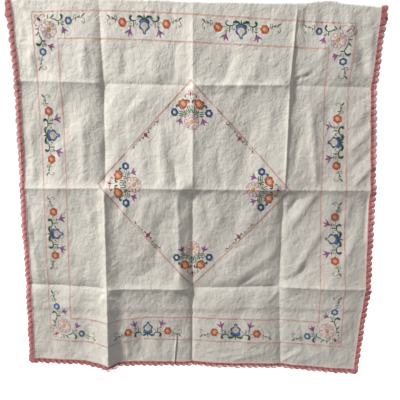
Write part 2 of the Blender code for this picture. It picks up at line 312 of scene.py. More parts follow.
@dataclass(frozen=True)
class WovenCotton:
    """Undyed plain-weave cotton, washed soft: matt, with slubs, a fine crinkle and a faint cream mottle."""

    colour: str = "#E6E2DA"
    shade: str = "#DCD7CE"
    thread_pitch_mm: float = 1.1
    slub_length_mm: float = 26.0
    crinkle_mm: float = 11.0
    fine_crinkle_mm: float = 4.0
    facet_mm: float = 24.0
    facet_depth: float = 0.35
    warp_mm: float = 25.0
    warp_reach: float = 0.03
    mottle_mm: float = 45.0
    mottle_share: float = 0.55
    slub_draw: float = 18.0
    slub_share: float = 0.3
    weave_share: float = 0.25
    tones: tuple[float, float] = (0.42, 0.78)
    crease_bump: tuple[float, float] = (0.0026, 0.6)
    crinkle_bump: tuple[float, float] = (0.0036, 0.5)
    fine_bump: tuple[float, float] = (0.0016, 0.6)
    thread_bump: tuple[float, float] = (0.0005, 0.4)
    roughness: float = 0.92
    sheen: float = 0.15

    def material(self) -> bpy.types.Material:
        """Build the cloth's material on its flat map, so that the weave follows the folds.

        Returns:
            The finished material.
        """
        material, tree, shader = new_finish("woven_cotton_undyed", self.roughness, self.sheen)
        flat = add_node(tree, "ShaderNodeUVMap", {"uv_map": FLAT_UV}).outputs["UV"]
        mottle = self.noise(tree, flat, self.mottle_mm, (1, 1, 1), 3.0)
        slub = self.slubs(tree, flat)
        blend = add_node(tree, "ShaderNodeMath", {"operation": "MULTIPLY_ADD", 1: self.mottle_share},
                         {0: mottle, 2: slub}).outputs[0]
        tone = add_node(tree, "ShaderNodeValToRGB", {}, {"Fac": blend})
        for element, position, colour in zip(tone.color_ramp.elements, self.tones,
                                             (self.shade, self.colour)):
            element.position, element.color = position, linear_colour(colour)
        tree.links.new(tone.outputs["Color"], shader.inputs["Base Color"])
        tree.links.new(self.relief(tree, flat, slub), shader.inputs["Normal"])
        return material

    def noise(self, tree: bpy.types.NodeTree, flat: bpy.types.NodeSocket, grain_mm: float,
              stretch: Sequence[float], detail: float = 2.0) -> bpy.types.NodeSocket:
        """Add a noise whose grain has a real size.

        Args:
            tree: the material's node tree.
            flat: the flat map's socket.
            grain_mm: the size of a grain.
            stretch: how much finer the grain is along each axis.
            detail: how many finer layers it has.

        Returns:
            The noise's socket.
        """
        mapped = add_node(tree, "ShaderNodeMapping", {"Scale": stretch}, {"Vector": flat})
        grain = add_node(tree, "ShaderNodeTexNoise",
                         {"Scale": 1.0 / (grain_mm * MILLIMETRE), "Detail": detail},
                         {"Vector": mapped.outputs["Vector"]})
        return grain.outputs["Fac"]

    def slubs(self, tree: bpy.types.NodeTree, flat: bpy.types.NodeSocket) -> bpy.types.NodeSocket:
        """Long thin thickenings of the yarn, warp and weft, as a value near a quarter.

        Args:
            tree: the material's node tree.
            flat: the flat map's socket.

        Returns:
            The value's socket.
        """
        across = self.noise(tree, flat, self.slub_length_mm, (1, self.slub_draw, 1))
        along = self.noise(tree, flat, self.slub_length_mm, (self.slub_draw, 1, 1))
        mixed = add_node(tree, "ShaderNodeMath", {"operation": "ADD"}, {0: across, 1: along})
        return add_node(tree, "ShaderNodeMath", {"operation": "MULTIPLY", 1: self.slub_share},
                        {0: mixed.outputs[0]}).outputs[0]

    def creases(self, tree: bpy.types.NodeTree, flat: bpy.types.NodeSocket) -> bpy.types.NodeSocket:
        """Short crisp creases between soft facets, as cotton keeps them after a wash.

        Args:
            tree: the material's node tree.
            flat: the flat map's socket.

        Returns:
            Their height's socket.
        """
        warp = add_node(tree, "ShaderNodeTexNoise",
                        {"Scale": 1.0 / (self.warp_mm * MILLIMETRE), "Detail": 2.0}, {"Vector": flat})
        moved = add_node(tree, "ShaderNodeVectorMath",
                         {"operation": "MULTIPLY_ADD", 1: (self.warp_reach,) * 3},
                         {0: warp.outputs["Color"], 2: flat})
        cells = add_node(tree, "ShaderNodeTexVoronoi",
                         {"feature": "DISTANCE_TO_EDGE", "Scale": 1.0 / (self.facet_mm * MILLIMETRE)},
                         {"Vector": moved.outputs["Vector"]})
        return add_node(tree, "ShaderNodeMath", {"operation": "MINIMUM", 1: self.facet_depth},
                        {0: cells.outputs["Distance"]}).outputs[0]

    def relief(self, tree: bpy.types.NodeTree, flat: bpy.types.NodeSocket,
               slub: bpy.types.NodeSocket) -> bpy.types.NodeSocket:
        """Bumps of the weave, the slubs and the crinkles too fine for the mesh.

        The real thread pitch is about 0.5 mm; it is drawn twice as coarse, so that close views show it.
        A wave texture of scale 1 repeats every two pi twentieths.

        Args:
            tree: the material's node tree.
            flat: the flat map's socket.
            slub: the slubs' socket.

        Returns:
            The socket of the bent normal.
        """
        scale = 2 * math.pi / 20 / (self.thread_pitch_mm * MILLIMETRE)
        weave = [add_node(tree, "ShaderNodeTexWave", {"bands_direction": way, "Scale": scale},
                          {"Vector": flat}).outputs["Fac"] for way in ("X", "Y")]
        woven = add_node(tree, "ShaderNodeMath", {"operation": "ADD"}, {0: weave[0], 1: weave[1]})
        threads = add_node(tree, "ShaderNodeMath", {"operation": "MULTIPLY_ADD", 1: self.weave_share},
                           {0: woven.outputs[0], 2: slub}).outputs[0]
        coarse = self.noise(tree, flat, self.crinkle_mm, (1, 0.7, 1))
        fine = self.noise(tree, flat, self.fine_crinkle_mm, (1, 0.8, 1))
        normal = None
        for height, (depth, strength) in ((self.creases(tree, flat), self.crease_bump),
                                          (coarse, self.crinkle_bump), (fine, self.fine_bump),
                                          (threads, self.thread_bump)):
            bump = add_node(tree, "ShaderNodeBump", {"Distance": depth, "Strength": strength},
                            {"Height": height})
            if normal:
                tree.links.new(normal, bump.inputs["Normal"])
            normal = bump.outputs["Normal"]
        return normal


@dataclass(frozen=True)
class TwistedYarn:
    """Mercerised cotton thread: plies laid round each other, with a soft lustre on their crowns."""

    name: str
    colour: str
    drift: float = 0.12
    ply_mm: float = 1.4
    ply_bump: tuple[float, float] = (0.0004, 0.6)
    patch_mm: float = 3.84615
    tones: tuple[float, float] = (0.32, 0.68)
    roughness: float = 0.62
    sheen: float = 0.25

    def material(self) -> bpy.types.Material:
        """Build the thread's material from the run along each thread, which the sweep stores.

        Returns:
            The finished material.
        """
        material, tree, shader = new_finish(self.name, self.roughness, self.sheen)
        tree.links.new(self.dye(tree), shader.inputs["Base Color"])
        run = add_node(tree, "ShaderNodeAttribute", {"attribute_name": ALONG}).outputs["Fac"]
        turns = add_node(tree, "ShaderNodeMath",
                         {"operation": "MULTIPLY", 1: 2 * math.pi / (self.ply_mm * MILLIMETRE)}, {0: run})
        ply = add_node(tree, "ShaderNodeMath", {"operation": "SINE"}, {0: turns.outputs[0]})
        depth, strength = self.ply_bump
        bump = add_node(tree, "ShaderNodeBump", {"Distance": depth, "Strength": strength},
                        {"Height": ply.outputs[0]})
        tree.links.new(bump.outputs["Normal"], shader.inputs["Normal"])
        return material

    def dye(self, tree: bpy.types.NodeTree) -> bpy.types.NodeSocket:
        """The thread's colour, which drifts a little from place to place.

        Args:
            tree: the material's node tree.

        Returns:
            The colour's socket.
        """
        place = add_node(tree, "ShaderNodeTexCoord").outputs["Object"]
        patch = add_node(tree, "ShaderNodeTexNoise",
                         {"Scale": 1.0 / (self.patch_mm * MILLIMETRE), "Detail": 2.0}, {"Vector": place})
        base = linear_colour(self.colour)
        tone = add_node(tree, "ShaderNodeValToRGB", {}, {"Fac": patch.outputs["Fac"]})
        for element, factor, position in zip(tone.color_ramp.elements, (1 - self.drift, 1 + self.drift),
                                             self.tones):
            element.position = position
            element.color = [min(part * factor, 1.0) for part in base[:3]] + [1.0]
        return tone.outputs["Color"]


@dataclass(frozen=True)
class PaintedShadeYarn(TwistedYarn):
    """Crochet cotton in rose, with painted shade: deep rose where the yarn lies low, its own rose where it
    stands high.
    """

    # The colour of the painted shade: full on yarn that lies lowest, gone on yarn that stands highest
    painted_shade_colour: str = "#742A32"
    shade_full_mm: float = 0.45
    shade_clear_mm: float = 1.3

    def dye(self, tree: bpy.types.NodeTree) -> bpy.types.NodeSocket:
        """Painted shade: deep rose low in the stitches, blending to the yarn's own rose on top, by the
        height that the sweep stores.

        Args:
            tree: the material's node tree.

        Returns:
            The colour's socket.
        """
        rise = add_node(tree, "ShaderNodeAttribute", {"attribute_name": RISE}).outputs["Fac"]
        high = add_node(tree, "ShaderNodeMapRange", {"From Min": self.shade_full_mm * MILLIMETRE,
                                                     "From Max": self.shade_clear_mm * MILLIMETRE}, {"Value": rise})
        mixed = add_node(tree, "ShaderNodeMixRGB", {"Color1": linear_colour(self.painted_shade_colour)},
                         {"Fac": high.outputs["Result"], "Color2": super().dye(tree)})
        return mixed.outputs["Color"]


@dataclass(frozen=True)
class PaleFloor:
    """Matt white studio floor paint, a touch warm, which keeps the eye on the cloth."""

    colour: str = "#F4F2EE"
    roughness: float = 0.8

    def material(self) -> bpy.types.Material:
        """Build the floor's material.

        Returns:
            The finished material.
        """
        material, _, shader = new_finish("matt_floor_paint", self.roughness)
        shader.inputs["Base Color"].default_value = linear_colour(self.colour)
        return material


@dataclass(frozen=True)
class SmoothNoise:
    """Soft random ripples on the flat cloth, drawn out along one way, the same on every run."""

    grain: float
    height: float
    seed: int
    turn_deg: float = 0.0
    drawn_out: float = 1.0
    cells: int = 160

    def read(self, across: Array, up: Array) -> Array:
        """Read the ripples' height at places on the cloth, in metres.

        Args:
            across: places along the width, in metres from the middle.
            up: places along the height, likewise.

        Returns:
            One height for each place.
        """
        lattice = np.random.default_rng(self.seed).uniform(-1.0, 1.0, (self.cells, self.cells))
        turn = math.radians(self.turn_deg)
        column = (across * math.cos(turn) + up * math.sin(turn)) / self.grain
        row = (up * math.cos(turn) - across * math.sin(turn)) / (self.grain * self.drawn_out)
        left, low = np.floor(column).astype(int), np.floor(row).astype(int)
        share, lift = ease(column - left), ease(row - low)
        corners = [lattice[(left + right) % self.cells, (low + above) % self.cells]
                   for above in (0, 1) for right in (0, 1)]
        bottom = corners[0] + (corners[1] - corners[0]) * share
        top = corners[2] + (corners[3] - corners[2]) * share
        return (bottom + (top - bottom) * lift) * self.height


@dataclass(frozen=True)
class HungForm:
    """Carries places on the flat cloth on to the hung one, with its folds and the bend at the top."""

    cloth_width: float = 0.959
    cloth_height: float = 1.055
    solid_thickness: float = 0.0012
    edging_depth: float = 0.0125
    hang_height: float = 0.494
    bend_radius: float = 0.009
    flare: float = 0.007
    broad_reach: float = 0.050
    pressed_reach: float = 0.013
    pressed_share: float = 0.55
    crest_rounding: float = 0.0010
    fold_rounding: float = 0.006
    turn_reach: float = 0.022
    held_share: float = 0.3
    held_reach: float = 0.09
    held_fine_share: float = 0.4
    fade_share: float = 0.25
    end_share: float = 0.35
    tent_rounding: float = 0.35
    tent_fall: float = 1.7
    probe: float = 0.0004
    waves: tuple[SmoothNoise, ...] = (
        SmoothNoise(0.115, 0.0036, 10, -10.0, 1.4), SmoothNoise(0.055, 0.0026, 11, -12.0, 1.8),
        SmoothNoise(0.026, 0.0011, 12, -30.0, 2.6), SmoothNoise(0.024, 0.0009, 13, 25.0, 2.4),
        SmoothNoise(0.011, 0.00030, 14, -38.0, 2.2), SmoothNoise(0.010, 0.00026, 15, 30.0, 1.8),
    )

    @property
    def half_width(self) -> float:
        """Half of the width with the edging."""
        return self.cloth_width / 2 + self.edging_depth

    def shift(self, column: str, across: Array, up: Array) -> Array:
        """Read a shift from the table of level lines, in metres."""
        return read_table(LINES, COLUMNS, column, across, up)

    def strength(self, crease: Crease, crossings: Sequence[float], along: Array) -> Array:
        """A crease's strength, which turns from ridge to trough where other folds cross it.

        Args:
            crease: the fold line.
            crossings: where the folds square to it lie.
            along: places along it.

        Returns:
            Its strength at each place, in metres.
        """
        value = np.full_like(along, crease.strength[0])
        for crossing, before, after in zip(crossings, crease.strength, crease.strength[1:]):
            turned = ease((along - crossing + self.turn_reach) / (2 * self.turn_reach))
            value += (after - before) * turned
        return value * MILLIMETRE

    def slope_off(self, distance: Array) -> Array:
        """A crease's height beside its crest: a sharp pressed edge on a broad slope.

        Args:
            distance: how far from the crest, in metres.

        Returns:
            The height there as a share of the crest's.
        """
        rounded = np.hypot(distance, self.crest_rounding) - self.crest_rounding
        pressed = np.exp(-rounded / self.pressed_reach) * self.pressed_share
        return pressed + np.exp(-rounded / self.broad_reach) * (1.0 - self.pressed_share)

    def forward(self, across: Array, up: Array) -> Array:
        """The table's shift forwards, with its corners rounded.

        Args:
            across: places along the width, in metres from the middle.
            up: places along the height, likewise.

        Returns:
            The shift at each place, in metres.
        """
        weights = ((-2, 1), (-1, 2), (0, 3), (1, 2), (2, 1))
        return sum(self.shift("forward", across + step * self.fold_rounding, up) * weight
                   for step, weight in weights) / sum(weight for _, weight in weights)

    def wrinkles(self, across: Array, up: Array) -> Array:
        """Heights of the small wrinkles, in metres.

        Args:
            across: places along the width, in metres from the middle.
            up: places along the height, likewise.

        Returns:
            One height for each place.
        """
        height = np.zeros_like(across)
        for row in WRINKLES:
            start = np.array((row.across, row.up)) * MILLIMETRE
            run = np.array((row.to_across, row.to_up)) * MILLIMETRE - start
            length = float(np.hypot(*run))
            along = ((across - start[0]) * run[0] + (up - start[1]) * run[1]) / length
            aside = ((across - start[0]) * run[1] - (up - start[1]) * run[0]) / length
            width = row.width * MILLIMETRE
            fade = np.minimum(along, length - along) / (self.fade_share * length) + self.end_share
            rounding = self.tent_rounding * width
            tent = np.hypot(aside, rounding) - rounding
            height += ease(fade) * np.exp(-tent / width * self.tent_fall) * row.height * MILLIMETRE
        return height

    def relief(self, across: Array, up: Array) -> Array:
        """How far the cloth's face stands forward of a flat sheet, in metres.

        Args:
            across: places along the width, in metres from the middle.
            up: places along the height, likewise.

        Returns:
            One distance for each place.
        """
        height = self.forward(across, up)
        uprights, levels = ([crease.place for crease in table] for table in (UPRIGHT_CREASES, LEVEL_CREASES))
        for crease in UPRIGHT_CREASES:
            height += self.strength(crease, levels, up) * self.slope_off(across - crease.place)
        for crease in LEVEL_CREASES:
            height += self.strength(crease, uprights, across) * self.slope_off(up - crease.place)
        held = ease((self.hang_height - up) / self.held_reach)
        height *= self.held_share + (1.0 - self.held_share) * held
        fine = self.wrinkles(across, up) + sum(wave.read(across, up) for wave in self.waves)
        return height + fine * (self.held_fine_share + (1.0 - self.held_fine_share) * held)

    def bend_start(self, across: Array) -> Array:
        """Height at which the cloth starts to turn over the rail.

        Args:
            across: places along the width, in metres from the middle.

        Returns:
            One height for each place, in metres.
        """
        places = np.array([peak.place for peak in TOP_FOLD])
        rises = np.array([peak.rise for peak in TOP_FOLD])
        above = np.clip(np.searchsorted(places, across), 1, len(places) - 1)
        share = ease((across - places[above - 1]) / (places[above] - places[above - 1]))
        rise = rises[above - 1] + (rises[above] - rises[above - 1]) * share
        return self.hang_height + rise * MILLIMETRE - self.bend_radius - self.solid_thickness / 2

    def on_face(self, across: Array, up: Array) -> Array:
        """Places on the middle of the hung sheet for places on the flat cloth.

        Args:
            across: places along the width, in metres from the middle.
            up: places along the height, likewise.

        Returns:
            One row of x, y and z for each place.
        """
        start = self.bend_start(across)
        past = up + self.shift("rise", across, up) - start
        turned = np.clip(past / self.bend_radius, 0.0, math.pi)
        beyond = np.maximum(past - math.pi * self.bend_radius, 0.0)
        out = self.relief(across, up)
        level = start + np.minimum(past, 0.0) + self.bend_radius * np.sin(turned) - beyond
        spread = self.flare * ease(turned / math.pi) * across / self.half_width
        return np.stack((
            across + self.shift("sideways", across, up) + spread,
            -(self.bend_radius + out) * np.cos(turned),
            level - self.hang_height + self.solid_thickness + out * np.sin(turned),
        ), axis=-1)

    def place(self, across: Array, up: Array, lift: Array | float = 0.0) -> Array:
        """Carry flat places on to the hung cloth, lifted off its face.

        Args:
            across: places along the width, in metres from the middle.
            up: places along the height.
            lift: how far off the sheet's middle, towards its face.

        Returns:
            One row of x, y and z for each place.
        """
        across, up = np.asarray(across, float), np.asarray(up, float)
        here = self.on_face(across, up)
        if np.all(np.asarray(lift) == 0.0):
            return here
        beside = self.on_face(across + self.probe, up) - here
        above = self.on_face(across, up + self.probe) - here
        face = np.cross(beside, above)
        face /= np.linalg.norm(face, axis=1, keepdims=True)
        return here + face * np.broadcast_to(lift, across.shape)[:, None]


def mesh_piece(name: str, mesh: bpy.types.Mesh) -> bpy.types.Object:
    """Put a mesh in the scene as a named piece at the origin.

    Args:
        name: the piece's name.
        mesh: its mesh.

    Returns:
        The new object.
    """
    piece = bpy.data.objects.new(name, mesh)
    bpy.context.scene.collection.objects.link(piece)
    return piece


def applied(piece: bpy.types.Object) -> bpy.types.Object:
    """Turn a piece with modifiers into a plain mesh.

    Args:
        piece: an object whose modifiers are all final.

    Returns:
        The same object with the evaluated mesh and no modifiers.
    """
    graph = bpy.context.evaluated_depsgraph_get()
    mesh = bpy.data.meshes.new_from_object(piece.evaluated_get(graph), depsgraph=graph)
    piece.modifiers.clear()
    old, piece.data = piece.data, mesh
    mesh.name = piece.name
    bpy.data.meshes.remove(old)
    return piece


def thickened(piece: bpy.types.Object, thickness: float) -> bpy.types.Object:
    """Give a surface an even thickness, half on each side of it, as a plain mesh.

    Args:
        piece: an object with an open surface.
        thickness: in metres.

    Returns:
        The same object with its plain mesh.
    """
    solidify = piece.modifiers.new("Thickness", "SOLIDIFY")
    solidify.thickness = thickness
    solidify.offset = 0.0
    return applied(piece)


@dataclass
class ThreadSweep:
    """A Geometry Nodes tree that sweeps a round thread along every guide line of a mesh."""

    name: str
    sides: int
    tree: bpy.types.NodeTree = field(init=False)

    def __post_init__(self) -> None:
        """Build the tree: guide edges to curves, girth from their points, then a swept tube."""
        tree = bpy.data.node_groups.new(self.name, "GeometryNodeTree")
        face = tree.interface
        face.new_socket("Guides", in_out="INPUT", socket_type="NodeSocketGeometry")
        face.new_socket("Sides", in_out="INPUT", socket_type="NodeSocketInt").default_value = self.sides
        face.new_socket("Thread", in_out="INPUT", socket_type="NodeSocketMaterial")
        face.new_socket("Threads", in_out="OUTPUT", socket_type="NodeSocketGeometry")
        given = add_node(tree, "NodeGroupInput")
        curves = add_node(tree, "GeometryNodeMeshToCurve", {}, {"Mesh": given.outputs["Guides"]})
        run = add_node(tree, "GeometryNodeSplineParameter")
        marked = add_node(tree, "GeometryNodeStoreNamedAttribute", {"domain": "POINT", "Name": ALONG},
                          {"Geometry": curves.outputs["Curve"], "Value": run.outputs["Length"]})
        girth = add_node(tree, "GeometryNodeInputNamedAttribute", {"Name": GIRTH})
        ring = add_node(tree, "GeometryNodeCurvePrimitiveCircle", {"Radius": 1.0},
                        {"Resolution": given.outputs["Sides"]})
        swept = add_node(tree, "GeometryNodeCurveToMesh", {"Fill Caps": True},
                         {"Curve": marked.outputs["Geometry"], "Profile Curve": ring.outputs["Curve"],
                          "Scale": girth.outputs["Attribute"]})
        soft = add_node(tree, "GeometryNodeSetShadeSmooth", {}, {"Geometry": swept.outputs["Mesh"]})
        real = add_node(tree, "GeometryNodeRealizeInstances", {}, {"Geometry": soft.outputs["Geometry"]})
        dressed = add_node(tree, "GeometryNodeSetMaterial", {},
                           {"Geometry": real.outputs["Geometry"], "Material": given.outputs["Thread"]})
        add_node(tree, "NodeGroupOutput", {}, {"Threads": dressed.outputs["Geometry"]})
        self.tree = tree

    def identifier(self, name: str) -> str:
        """Find an input's identifier from its name."""
        return next(item.identifier for item in self.tree.interface.items_tree
                    if item.name == name and item.in_out == "INPUT")

    def sweep(self, name: str, points: Array, edges: Array, values: dict[str, Array],
              material: bpy.types.Material) -> bpy.types.Object:
        """Sweep threads along guide lines.

        Args:
            name: the piece's name.
            points: the guide points, one row each.
            edges: pairs of point numbers.
            values: the thread's radius and any more attributes at each point.
            material: the thread's material.

        Returns:
            The threads as one plain mesh.
        """
        mesh = bpy.data.meshes.new(name)
        mesh.from_pydata(points.tolist(), edges.tolist(), [])
        for label, column in values.items():
            mesh.attributes.new(label, "FLOAT", "POINT").data.foreach_set("value", column)
        piece = mesh_piece(name, mesh)
        modifier = piece.modifiers.new("Threads", "NODES")
        modifier.node_group = self.tree
        modifier[self.identifier("Sides")] = self.sides
        modifier[self.identifier("Thread")] = material
        return applied(piece)


@dataclass
class ClothSheet:
    """The hemmed cloth as one thin sheet on its folds, over the top bend and down the flap behind."""

    form: HungForm
    thickness: float = 0.0006
    panel_cells: int = 49
    crowding: float = 0.72
    bend_cells: int = 12
    flap_cells: int = 5
    hem_width: float = 0.009
    hem_lift: float = 0.0002
    pleat: float = -0.0495
    pleat_reach: float = 0.0090
    pleat_cells: int = 15
    least_cell: float = 0.0004
    hem_fade: float = 0.25
    face_lift: float = 1e-9

    def stations(self, lines: Sequence[float]) -> list[float]:
        """Mesh lines across a row of panels, crowded together beside each fold.

        Args:
            lines: the edges and folds that bound the panels.

        Returns:
            The places of the lines, in metres.
        """
        places = []
        for start, end in zip(lines, lines[1:]):
            for cell in range(self.panel_cells):
                share = cell / self.panel_cells
                share -= self.crowding * math.sin(2 * math.pi * share) / (2 * math.pi)
                places.append(start + (end - start) * share)
        return places + [lines[-1]]

    def heights(self) -> list[float]:
        """Mesh lines from the bottom hem up, over the bend and down the flap.

        Returns:
            The places of the lines, in metres.
        """
        form = self.form
        bottom, top = -form.cloth_height / 2, form.cloth_height / 2
        bend = form.hang_height - form.bend_radius - 2 * form.solid_thickness
        after = bend + math.pi * form.bend_radius
        front = self.stations([bottom] + [crease.place for crease in LEVEL_CREASES] + [bend])
        over = np.linspace(bend, after, self.bend_cells + 1)[1:].tolist()
        flap = np.linspace(after, top, self.flap_cells + 1)[1:].tolist()
        return front + over + flap

    def build(self, material: bpy.types.Material) -> bpy.types.Object:
        """Make the sheet, with its flat map, finer lines at the pleat and its hem a little proud.

        Args:
            material: its finish.

        Returns:
            The sheet as one plain mesh.
        """
        side, top = self.form.cloth_width / 2, self.form.cloth_height / 2
        columns = np.array(self.stations([-side] + [crease.place for crease in UPRIGHT_CREASES] + [side]))
        close = np.linspace(-self.pleat_reach, self.pleat_reach, self.pleat_cells + 1) + self.pleat
        columns = columns[np.abs(columns - self.pleat) > self.pleat_reach + self.least_cell]
        columns = np.sort(np.concatenate((columns, close)))
        rows = np.array(self.heights())
        across, up = (part.ravel() for part in np.meshgrid(columns, rows))
        inside = np.minimum(side - np.abs(across), top - np.abs(up))
        hem = self.hem_lift * ease((self.hem_width - inside) / (self.hem_fade * self.hem_width) + 0.5)
        points = self.form.place(across, up, hem + self.face_lift)
        wide = len(columns)
        first = (np.arange(len(rows) - 1)[:, None] * wide + np.arange(wide - 1)).ravel()
        faces = np.stack((first, first + 1, first + 1 + wide, first + wide), axis=1)
        mesh = bpy.data.meshes.new("cloth_sheet")
        mesh.from_pydata(points.tolist(), [], faces.tolist())
        flat = np.stack((across, up), axis=1)[faces.ravel()]
        mesh.uv_layers.new(name=FLAT_UV).data.foreach_set("uv", flat.ravel())
        mesh.materials.append(material)
        mesh.shade_smooth()
        return thickened(mesh_piece("cloth_sheet", mesh), self.thickness)


@dataclass
class Guides:
    """Guide lines for threads, gathered in flat places before they are carried on to the hung cloth."""

    places: list[Array] = field(default_factory=list)
    edges: list[Array] = field(default_factory=list)
    count: int = 0

    def add(self, rows: Array) -> None:
        """Add one line.

        Args:
            rows: across, up, lift and girth of each point, in metres.
        """
        steps = np.arange(self.count, self.count + len(rows) - 1)
        self.places.append(rows)
        self.edges.append(np.stack((steps, steps + 1), axis=1))
        self.count += len(rows)

    def add_stitches(self, rows: Array) -> None:
        """Add many lines of three points each.

        Args:
            rows: an array of stitches by points by the same four values.
        """
        first = self.count + 3 * np.arange(len(rows))
        self.places.append(rows.reshape(-1, rows.shape[-1]))
        self.edges.append(np.concatenate((np.stack((first, first + 1), 1),
                                          np.stack((first + 1, first + 2), 1))))
        self.count += 3 * len(rows)

    def sweep(self, name: str, form: HungForm, tool: ThreadSweep,
              material: bpy.types.Material) -> bpy.types.Object:
        """Carry the guides on to the hung cloth and sweep the threads.

        Args:
            name: the piece's name.
            form: the hung cloth.
            tool: what sweeps the threads.
            material: its finish.

        Returns:
            The threads as one plain mesh.
        """
        rows = np.concatenate(self.places)
        points = form.place(rows[:, 0], rows[:, 1], rows[:, 2])
        # The lift is kept as a height, which the crochet yarn's painted shade reads
        values = {GIRTH: rows[:, 3].copy(), RISE: rows[:, 2].copy()}
        return tool.sweep(name, points, np.concatenate(self.edges), values, material)


def hem_ways(heading: float) -> tuple[Array, Array]:
    """Unit directions along the hem and out from it, for a hem that runs anticlockwise."""
    along = np.array((math.cos(heading), math.sin(heading)))
    return along, np.array((along[1], -along[0]))


@dataclass
class CrochetEdging:
    """One row of shells on a row of short stitches, worked round the hem."""

    form: HungForm
    shell_pitch: float = 0.017
    corner_shells: int = 2
    depth: float = 0.0138
    base_depth: float = -0.0024
    shell_half: float = 0.0090
    notch_depth: float = 0.0048
    overlap: float = 0.0013
    lean: float = 0.0030
    tip_curve: float = 2.0
    uneven: float = 0.15
    corner_stitches: int = 5
    seed: int = 4
    ground_steps: int = 8
    ground_inset: float = 0.0034
    ground_root: float = -0.001
    ground_thickness: float = 0.0005
    gathered: float = 0.74
    posts: int = 7
    post_girth: float = 0.00122
    post_rises: tuple[float, ...] = (0.0, 0.4, 0.75, 0.98)
    post_lifts_mm: tuple[float, ...] = (0.45, 0.45, 0.4, 0.3)
    post_shares: tuple[float, ...] = (0.75, 0.95, 1.15, 0.95)
    strand_girth: float = 0.00072
    strand_wave: float = 0.055
    strand_lift_mm: float = 0.4
    chain_steps: int = 12
    base_stitches: int = 5
    base_wave: float = 0.0005
    base_lift_mm: float = 0.5
    base_rise_mm: float = 0.3
    stitch_reach_mm: tuple[float, ...] = (-5.2, -3.4, -1.6)
    stitch_lifts_mm: tuple[float, ...] = (0.5, 0.9, 0.6)
    stitch_girths_mm: tuple[float, ...] = (0.8, 1.4, 1.2)
    corner_share: float = 0.9
    shortest: float = -1.0
    longest: float = 0.4

    def sides(self) -> list[tuple[Array, float, float]]:
        """Find the four sides, anticlockwise from the lower left.

        Returns:
            For each side the corner where it starts, its length and its heading.
        """
        side, top = self.form.cloth_width / 2, self.form.cloth_height / 2
        corners = np.array(((-side, -top), (side, -top), (side, top), (-side, top)))
        following = np.roll(corners, -1, axis=0)
        lengths = np.hypot(*(following - corners).T)
        return [(corner, length, math.pi / 2 * number)
                for number, (corner, length) in enumerate(zip(corners, lengths))]

    def shell(self, guides: Guides, root: Array, heading: float, narrow: float, full: float) -> None:
        """Work one shell: posts that fan out from a gathered root, and the chain that rounds their tops.

        Its last posts lie over the first ones of the next shell, which shades the gaps between shells; the
        yarn's painted shade also darkens the posts that lie under.

        Args:
            guides: where the yarn lines go.
            root: the shell's middle on the hem.
            heading: the direction of the hem.
            narrow: the shell's width as a share of the usual one.
            full: its depth, likewise.
        """
        along, out = hem_ways(heading)
        tip = self.depth * full - self.post_girth - self.base_depth

        def spread(asides: Array, rises: Array) -> Array:
            """Flat places for shares of the shell's width and depth."""
            sideways = self.shell_half * narrow * asides * (self.gathered + (1.0 - self.gathered) * rises)
            sideways -= self.lean * (1.0 - rises)
            outward = self.base_depth + (tip - self.notch_depth * np.abs(asides) ** self.tip_curve) * rises
            return root + sideways[:, None] * along + outward[:, None] * out

        rises = np.array(self.post_rises)
        lifts = np.array(self.post_lifts_mm) * MILLIMETRE
        girths = self.post_girth * np.array(self.post_shares)
        for aside in np.linspace(-1.0, 1.0, self.posts):
            flat = spread(np.full_like(rises, aside), rises)
            over = self.overlap * (1.0 - ((1.0 - aside) / 2) ** 2)
            guides.add(np.column_stack((flat, lifts + over, girths)))
        steps = np.linspace(-1.0, 1.0, self.chain_steps + 1)
        for phase in (0.0, math.pi):
            turns = steps * math.pi * self.posts + phase
            flat = spread(steps, 1.0 + self.strand_wave * np.sin(turns))
            lift = self.strand_lift_mm * (1.0 + np.cos(turns)) * MILLIMETRE
            lift += self.overlap * (1.0 - ((1.0 - steps) / 2) ** 2)
            guides.add(np.column_stack((flat, lift, np.full(len(steps), self.strand_girth))))

    def hem_stitch(self, guides: Guides, at: Array, heading: float) -> None:
        """Work one short stitch over the hem, from inside it to where the shells start.

        Args:
            guides: where the stitch goes.
            at: its place on the hem.
            heading: the direction of the hem.
        """
        out = hem_ways(heading)[1]
        reach, lifts, girths = np.array(
            (self.stitch_reach_mm, self.stitch_lifts_mm, self.stitch_girths_mm)) * MILLIMETRE
        guides.add(np.column_stack((at + out * reach[:, None], lifts, girths)))

    def base_row(self, guides: Guides, pale: Guides, corner: Array, length: float, heading: float) -> None:
        """Work the pale short stitches over the hem and round its corner, and the chain beside them.

        Args:
            guides: where the chain goes.
            pale: where the short stitches go.
            corner: the corner that the side starts from.
            length: the side's length.
            heading: its direction.
        """
        along, out = hem_ways(heading)
        count = round(length / self.shell_pitch) * self.base_stitches
        pitch = length / count
        for number in range(count):
            self.hem_stitch(pale, corner + along * pitch * (number + 0.5), heading)
        for number in range(self.corner_stitches):
            turn = math.pi / 2 * (number + 0.5) / self.corner_stitches
            self.hem_stitch(pale, corner + along * length, heading + turn)
        steps = np.arange(2 * count + 1)
        for phase in (0.0, math.pi):
            turns = steps * math.pi / 2 + phase
            side = self.base_depth + self.base_wave * np.sin(turns)
            flat = corner + along * (steps * pitch / 2)[:, None] + out * side[:, None]
            lift = (self.base_lift_mm + self.base_rise_mm * np.cos(turns)) * MILLIMETRE
            guides.add(np.column_stack((flat, lift, np.full(len(steps), self.strand_girth))))

